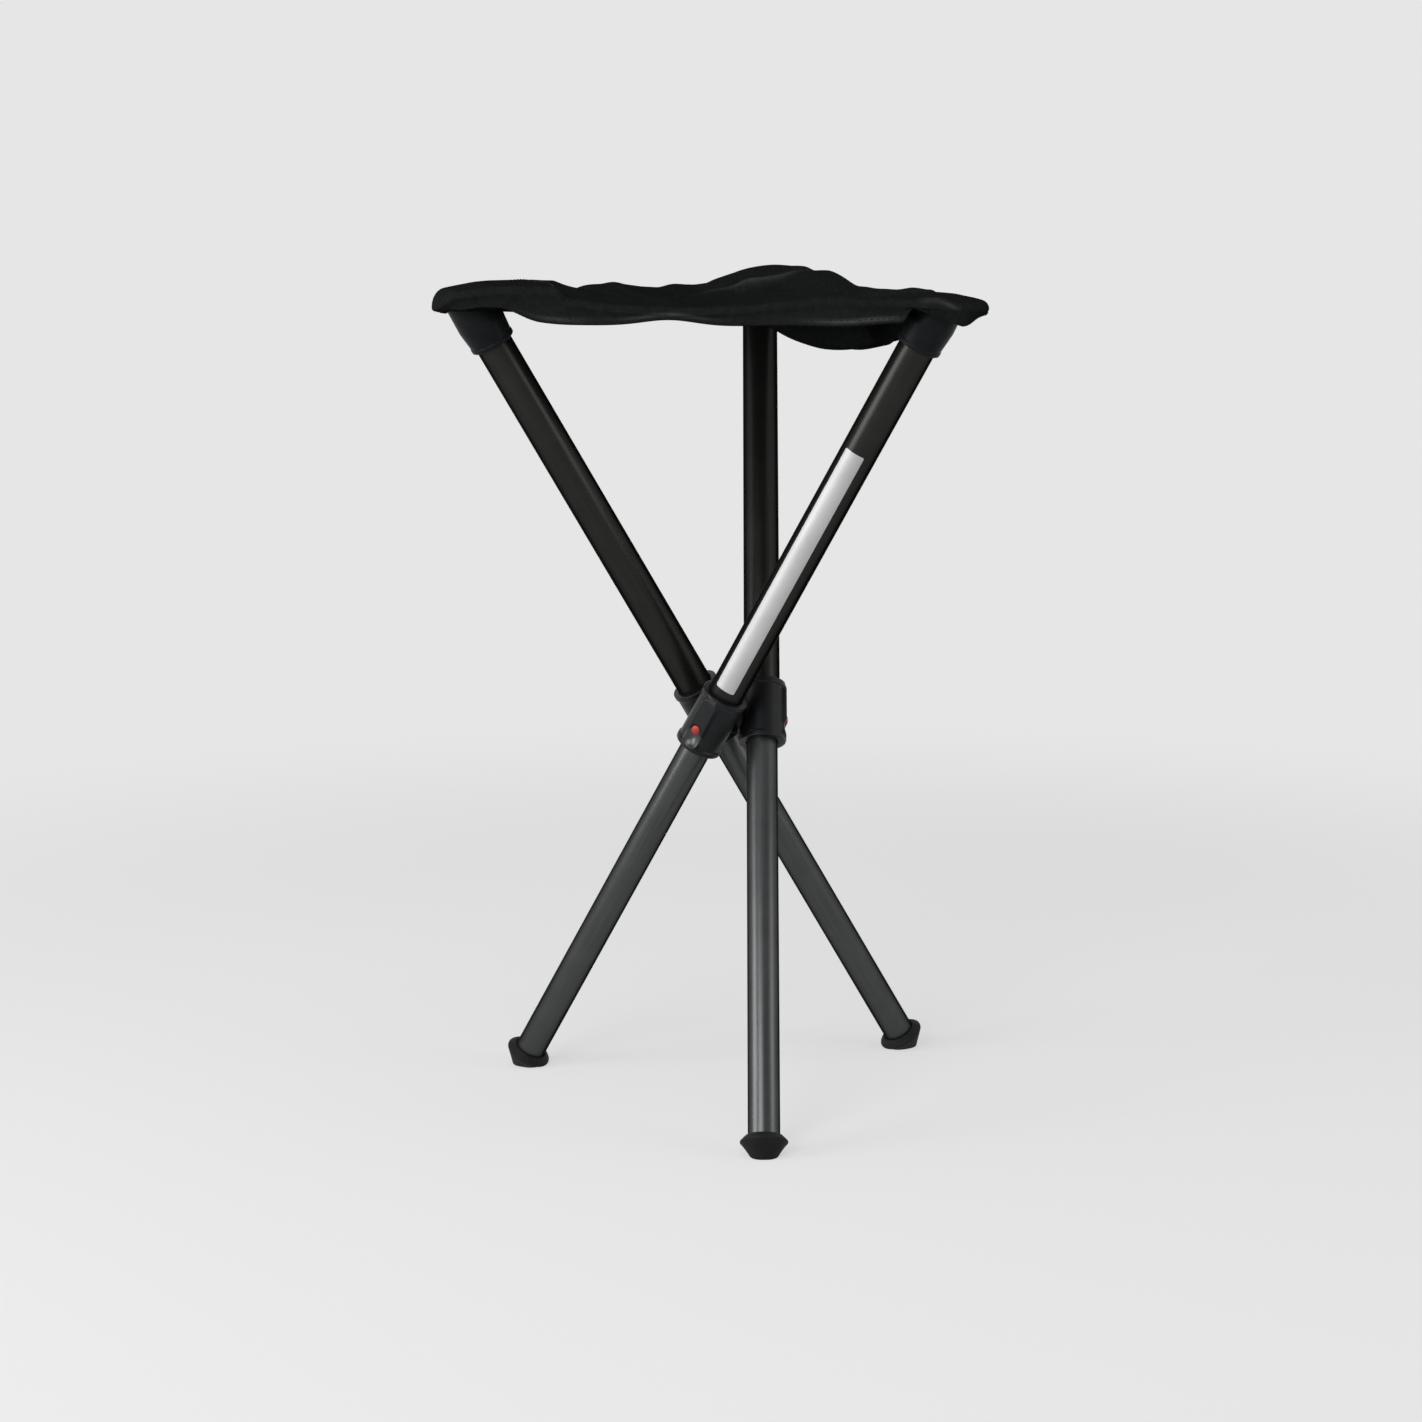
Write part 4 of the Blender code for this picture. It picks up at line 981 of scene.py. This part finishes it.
def on_seat(plan, at):
    """Points on the seat's upper side over plan points in one corner's third. A point's ring is its distance
    from the seat's middle over the rim's distance in the same direction."""
    edge, normal, sag, *_, ear = seat_edge(at)
    rim = edge - (HEM_ROUND + EAR_ROUND[LEGS[at]] * ear)[:, None] * normal
    ahead, right = outward[LEGS[at]], rightward[LEGS[at]]
    rim_turn = np.arctan2(-rim @ right, rim @ ahead)
    turn = np.arctan2(-plan @ right, plan @ ahead)
    ring = np.linalg.norm(plan, axis=1) / np.interp(turn, rim_turn, np.linalg.norm(rim, axis=1))
    height = seat_height(plan, np.minimum(ring, 1), np.interp(turn, rim_turn, sag))
    return np.column_stack([plan + hub_axis[:2], height])


def woven_cloth():
    """Plain weave on the flat pattern: warp and weft waves that pass over each other, slubs and lint, and
    pale painted highlights where the second UV map holds them, along the hem, the back fold and over the head
    of corner c."""
    finish = Finish("black_cloth", Specular_IOR_Level=0.0)
    flat = Shade(finish.tree).node("ShaderNodeUVMap", {"uv_map": "surface"})
    x = flat.node("ShaderNodeSeparateXYZ", {}, {0: flat})
    y = flat.node("ShaderNodeSeparateXYZ", {}, {0: flat}, 1)
    pitch = math.pi / WEAVE
    warp = x.math("SINE", x * pitch)
    weft = y.math("SINE", y * pitch)
    over = x.math("SINE", x * pitch * 0.5 + y * pitch * 0.5) * 0.5 + 0.5
    weave = over * (warp * warp) + (1 - over) * (weft * weft)
    slub = finish.noise(1.0, 2.0, stretch=(1100.0, 60.0))
    lint = finish.noise(220.0, 4.0)
    yarn = (weave * 0.35 + slub * 0.25 + lint * 0.4).step(0.2, 0.85)
    black = yarn.tint((0.0068, 0.0078, 0.0075), (0.0180, 0.0200, 0.0192))
    # Painted highlights: a pale yarn colour is mixed in where the second UV map asks for it, broken up by the
    # lint.
    painted_sheen = finish.polish_and_painted_sheen() * (0.4 + 0.6 * lint)
    finish.feed("Base Color", painted_sheen.tint(black, (0.075, 0.077, 0.072)))
    finish.feed("Roughness", 0.74 + 0.16 * lint)
    crumple = finish.noise(75.0, 4.0)
    finish.bump((weave + 0.5 * slub) * 0.00016 + crumple * 0.0014, 1.0)
    return finish


black_cloth = woven_cloth()
thread = Finish("black_thread", Specular_IOR_Level=0.05)
thread_ply = thread.noise(1600.0, 2.0)
thread.feed("Base Color", thread_ply.tint((0.0060, 0.0066, 0.0064), (0.0135, 0.0146, 0.0142)))
thread.feed("Roughness", 0.5 + 0.2 * thread_ply)
thread.bump(thread_ply, 0.00008)


def stitches(name, line, lift, pitch=0.0034, length=0.0024, radius=0.00028):
    """A row of stitches along a line, each a capsule with six sides that follows the line and sinks in at its
    ends. lift holds the direction away from the cloth at each point of the line."""
    away = np.concatenate([[0], np.cumsum(np.linalg.norm(np.diff(line, axis=0), axis=1))])
    middle = np.arange(pitch, away[-1] - pitch, pitch)

    def at(places, values):
        """Values of the line's points, read at places along it."""
        return np.stack([np.interp(places, away, values[:, axis]) for axis in range(3)], -1)

    spot = at(middle, line)
    ahead = at(middle + 0.0004, line) - spot
    ahead /= np.linalg.norm(ahead, axis=1, keepdims=True)
    up = at(middle, lift)
    up -= (up * ahead).sum(1, keepdims=True) * ahead
    up /= np.linalg.norm(up, axis=1, keepdims=True)
    aside = np.cross(ahead, up)
    part = np.array([-0.5, -0.42, -0.15, 0.15, 0.42, 0.5])
    thick = np.array([0.15, 0.7, 1.0, 1.0, 0.7, 0.15]) * radius
    rise = np.array([-0.9, -0.2, 0.35, 0.35, -0.2, -0.9]) * radius
    turn = np.arange(6) * math.pi / 3
    core = spot[:, None] + part[None, :, None] * length * ahead[:, None] + rise[None, :, None] * up[:, None]
    hoop = np.cos(turn)[None, :, None] * up[:, None] + np.sin(turn)[None, :, None] * aside[:, None]
    rings = core[:, :, None] + thick[None, :, None, None] * hoop[:, None]
    i, j = np.meshgrid(np.arange(5) * 6, np.arange(6), indexing="ij")
    after = (j + 1) % 6
    quads = np.stack([i + j, i + after, i + 6 + after, i + 6 + j], -1).reshape(-1, 4)
    # Each end is closed by two faces with four corners.
    caps = np.array([[0, 5, 4, 3], [0, 3, 2, 1], [30, 31, 32, 33], [30, 33, 34, 35]])
    faces = np.concatenate([quads, caps])[None] + 36 * np.arange(len(middle))[:, None, None]
    mesh = bpy.data.meshes.new(name)
    mesh.from_pydata(rings.reshape(-1, 3).tolist(), [], faces.reshape(-1, 4).tolist())
    return closed_up(mesh, thread)


def bend(piece):
    """Bakes the piece's place into its mesh."""
    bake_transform(piece)


for at, leg in enumerate(LEGS):
    rows, pattern, polish_and_painted_sheen = seat_rows(at)
    # Each cut side closes on the line midway between the upper side and the one under it.
    halves = [(rows[:, side] + rows[::-1, side])[:, None] / 2 for side in (0, -1)]
    closed = np.concatenate([halves[0], rows, halves[1]], axis=1)
    spread = np.concatenate([pattern[:, :1], pattern, pattern[:, -1:]], axis=1)
    polish_and_painted_sheen = np.concatenate([polish_and_painted_sheen[:, :1], polish_and_painted_sheen, polish_and_painted_sheen[:, -1:]], axis=1)
    kind = {"ring": False, "ends": "stop", "sharp": 60.0}
    panel = surface(f"seat_cloth_{leg}", closed, black_cloth, uv=spread, polish_and_painted_sheen=polish_and_painted_sheen, **kind)
    hem_line = rows[STITCHED_ROW]
    hem_piece = stitches(f"hem_stitches_{leg}", hem_line, hem_line - rows[-1 - STITCHED_ROW])
    # The patch's seam runs from one edge of the corner to the other, a little inside the patch's own edge.
    half_seam = (PATCH_LENGTH[leg] - SEAM_BACK) * math.tan(math.pi / 6)
    half_seam += (SEAT_CORNER_R - SEAM_SHORT) / math.cos(math.pi / 6)
    across = np.linspace(-half_seam, half_seam, SEAM_POINTS)
    inward = PATCH_LENGTH[leg] - SEAM_INSET - across**2 * PATCH_BOW
    seam_plan = corners[leg] - np.outer(inward, outward[leg]) + np.outer(across, rightward[leg])
    upward = np.tile([0.0, 0.0, 1.0], (SEAM_POINTS, 1))
    seam_piece = stitches(f"patch_stitches_{leg}", on_seat(seam_plan, at), upward)
    for sewn in (panel, hem_piece, seam_piece):
        bend(sewn)
    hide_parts("seat_panel")

# Corner pockets
# Under each corner a second layer of the same cloth is sewn to the hem, so that the corner is a pocket round
# the fitting's head. Its mouth is hemmed round the collar, and the layer ends in a seam across the corner.

POCKET_LOW = 0.4884
POCKET_IN = 0.030
POCKET_POINTS = 120
POCKET_SAG = 0.0008
POCKET_LIP = 0.0012
POCKET_GAP = 0.0005
POCKET_TIP_GAP = 0.0018
POCKET_SIDE_GAP = 0.0008
POCKET_BELLY = 0.45
POCKET_ROUNDING = (0.0005, 0.0005, 0.0012, 0.004, 0.0007, 0.0007, 0.004, 0.0008)


def pocket_rows(leg):
    """An annulus of cloth: rings from a short lip round the collar out to the hem, and back over it at its
    thickness. The outer ring is the corner's own curve, cut off straight across the inner side."""
    axes, pivot = leg_axes(leg)
    turn = np.arange(POCKET_POINTS) * 2 * math.pi / POCKET_POINTS
    way = np.outer(np.cos(turn), outward[leg]) + np.outer(np.sin(turn), rightward[leg])
    middle = corners[leg] + hub_axis[:2]
    blunt = 2 * EAR_BLUNT[leg]
    arc_r = SEAT_CORNER_R + EAR_BLUNT[leg] - CLOTH - POCKET_TIP_GAP
    arc = np.sqrt(arc_r**2 - (blunt * np.sin(turn)) ** 2) - blunt * np.cos(turn)
    sides = (SEAT_CORNER_R - CLOTH - POCKET_SIDE_GAP) / np.maximum(np.abs(np.sin(turn)), 0.001)
    across = POCKET_IN / np.maximum(-np.cos(turn), 1e-6)
    far = np.where(np.cos(turn) < 0, np.minimum(across, sides), arc)

    def collar(height):
        """The collar's outline on a level: the leg's round section, sheared along the leg's lean."""
        centre = pivot[:2] + axes[2, :2] * (height - pivot[2]) / axes[2, 2]
        lean = axes[2, :2] / np.linalg.norm(axes[2, :2])
        along = way @ lean
        across = way @ axes[0, :2]
        size = (COLLAR_TOP_R + POCKET_GAP) / np.sqrt(across**2 + (along * axes[2, 2]) ** 2)
        return centre + size[:, None] * way

    rim = middle + far[:, None] * way
    mouth = collar(POCKET_LOW - POCKET_LIP)
    neck = collar(POCKET_LOW)
    belly = neck + POCKET_BELLY * (rim - neck)
    # Each ring of the cloth's section in plan, and its height over the pocket's underside.
    section = (
        (mouth, -POCKET_LIP),
        (mouth + 0.0012 * way, -POCKET_LIP),
        (neck + 0.0016 * way, -0.0002),
        (belly, -POCKET_SAG),
        (rim, 0.0006),
        (rim, 0.0022),
        (belly, 0.0016 - POCKET_SAG),
        (neck + 0.0002 * way, 0.0012),
    )
    keys = [np.column_stack([plan, np.full(POCKET_POINTS, POCKET_LOW + rise)]) for plan, rise in section]
    return rounded(keys, POCKET_ROUNDING, loop=True)


for leg in LEGS:
    piece = surface(f"pocket_cloth_{leg}", pocket_rows(leg), black_cloth, ends="loop", sharp=60.0)
    fit(piece, f"upper_leg_{leg}", "black_cloth", f"corner_pocket_{leg}")

# Floor, light and camera
# A pale studio floor that passes into an even backdrop, soft lights overhead, in front and on both sides, the
# left one stronger, and a longer lens a little above the seat.

BACKDROP = 0.791
ROOM_LIGHT = 0.24
DARK_SIDE = 0.45
PAPER_WHITE = 0.92
PAPER_BOUNCE = 0.25
FLOOR_HALF = 6.0
EVEN_SHARE = 0.70
LIT_R = 0.55
EVEN_R = 1.25
MIDDLE = (0, 0, 0.25)
LENS = 84.71
CAMERA_PLACE = (0.04090, -2.02726, 0.61166)
HEADING = 0.0201
DIP = 0.1837
ROLL = -0.0104

floor_mesh = bpy.data.meshes.new("studio_floor")
square = FLOOR_HALF * np.array([[-1, -1, 0], [1, -1, 0], [1, 1, 0], [-1, 1, 0]])
floor_mesh.from_pydata(square.tolist(), [], [(0, 1, 2, 3)])
floor = bpy.data.objects.new("studio_floor", floor_mesh)
bpy.context.scene.collection.objects.link(floor)

paper = bpy.data.materials.new("studio_paper")
paper.use_nodes = True
paper.node_tree.nodes.clear()
on_paper = Shade(paper.node_tree)
spot = on_paper.node("ShaderNodeTexCoord", out="Object")
away = on_paper.node("ShaderNodeVectorMath", {"operation": "LENGTH"}, {0: spot}, "Value")
matt = on_paper.node("ShaderNodeBsdfDiffuse", {}, {"Color": (PAPER_WHITE, PAPER_WHITE, PAPER_WHITE, 1)})
dim = on_paper.node("ShaderNodeBsdfDiffuse", {}, {"Color": (PAPER_BOUNCE, PAPER_BOUNCE, PAPER_BOUNCE, 1)})
even = on_paper.node("ShaderNodeEmission", {}, {"Color": (BACKDROP, BACKDROP, BACKDROP, 1)})
evened = EVEN_SHARE + (1 - EVEN_SHARE) * away.step(LIT_R, EVEN_R)
mixed = on_paper.node("ShaderNodeMixShader", {}, {0: evened, 1: matt, 2: even})
# The paper throws only a little light back up at the stool.
bounce = on_paper.node("ShaderNodeLightPath", out="Is Diffuse Ray")
paper_look = on_paper.node("ShaderNodeMixShader", {}, {0: bounce, 1: mixed, 2: dim})
paper_out = paper.node_tree.nodes.new("ShaderNodeOutputMaterial")
paper.node_tree.links.new(paper_look.socket, paper_out.inputs[0])
floor_mesh.materials.append(paper)

world = bpy.data.worlds.new("studio")
bpy.context.scene.world = world
world.use_nodes = True
world.node_tree.nodes.clear()
air = Shade(world.node_tree)
path = air.node("ShaderNodeLightPath", out="Is Camera Ray")
gloss = Shade(world.node_tree, path.socket.node.outputs["Is Glossy Ray"])
through = Shade(world.node_tree, path.socket.node.outputs["Is Transmission Ray"])
facing = air.node("ShaderNodeSeparateXYZ", {}, {0: air.node("ShaderNodeTexCoord", out="Generated")}, 1)
# What the stool mirrors is darker on the camera's side of the room.
room = DARK_SIDE + (1 - DARK_SIDE) * facing.step(-0.7, 0.2)
seen = air.math("MAXIMUM", path, through)
level = (seen + (1 - seen) * gloss * room) * BACKDROP + (1 - seen) * (1 - gloss) * ROOM_LIGHT
sky = air.node("ShaderNodeBackground", {}, {"Color": (1, 1, 1, 1), "Strength": level})
sky_out = world.node_tree.nodes.new("ShaderNodeOutputWorld")
world.node_tree.links.new(sky.socket, sky_out.inputs[0])


def soft_light(name, place, size, power):
    """A square area lamp at a place, turned to face the stool's middle."""
    lamp = bpy.data.lights.new(name, "AREA")
    lamp.size = size
    lamp.energy = power
    held = bpy.data.objects.new(name, lamp)
    held.location = place
    held.rotation_euler = (Vector(MIDDLE) - Vector(place)).to_track_quat("-Z", "Y").to_euler()
    held.visible_camera = False
    bpy.context.scene.collection.objects.link(held)


soft_light("overhead", (0, -0.3, 2.0), 1.2, 6.0)
soft_light("front", (-1.0, -2.2, 1.3), 1.2, 33.0)
soft_light("left", (-1.7, -0.7, 0.7), 0.9, 19.0)
soft_light("right", (1.7, -0.7, 0.7), 0.9, 8.0)

camera_data = bpy.data.cameras.new("camera")
camera_data.lens = LENS
camera_data.sensor_width = 36.0
camera = bpy.data.objects.new("camera", camera_data)
ground = math.cos(DIP)
forward = Vector((-math.sin(HEADING) * ground, math.cos(HEADING) * ground, -math.sin(DIP)))
level_right = Vector((math.cos(HEADING), math.sin(HEADING), 0))
level_up = level_right.cross(forward)
right = math.cos(ROLL) * level_right + math.sin(ROLL) * level_up
above = math.cos(ROLL) * level_up - math.sin(ROLL) * level_right
turned = Matrix((right, above, -forward)).transposed().to_4x4()
camera.matrix_world = Matrix.Translation(CAMERA_PLACE) @ turned
bpy.context.scene.collection.objects.link(camera)
bpy.context.scene.camera = camera
bpy.context.scene.view_settings.view_transform = "Standard"
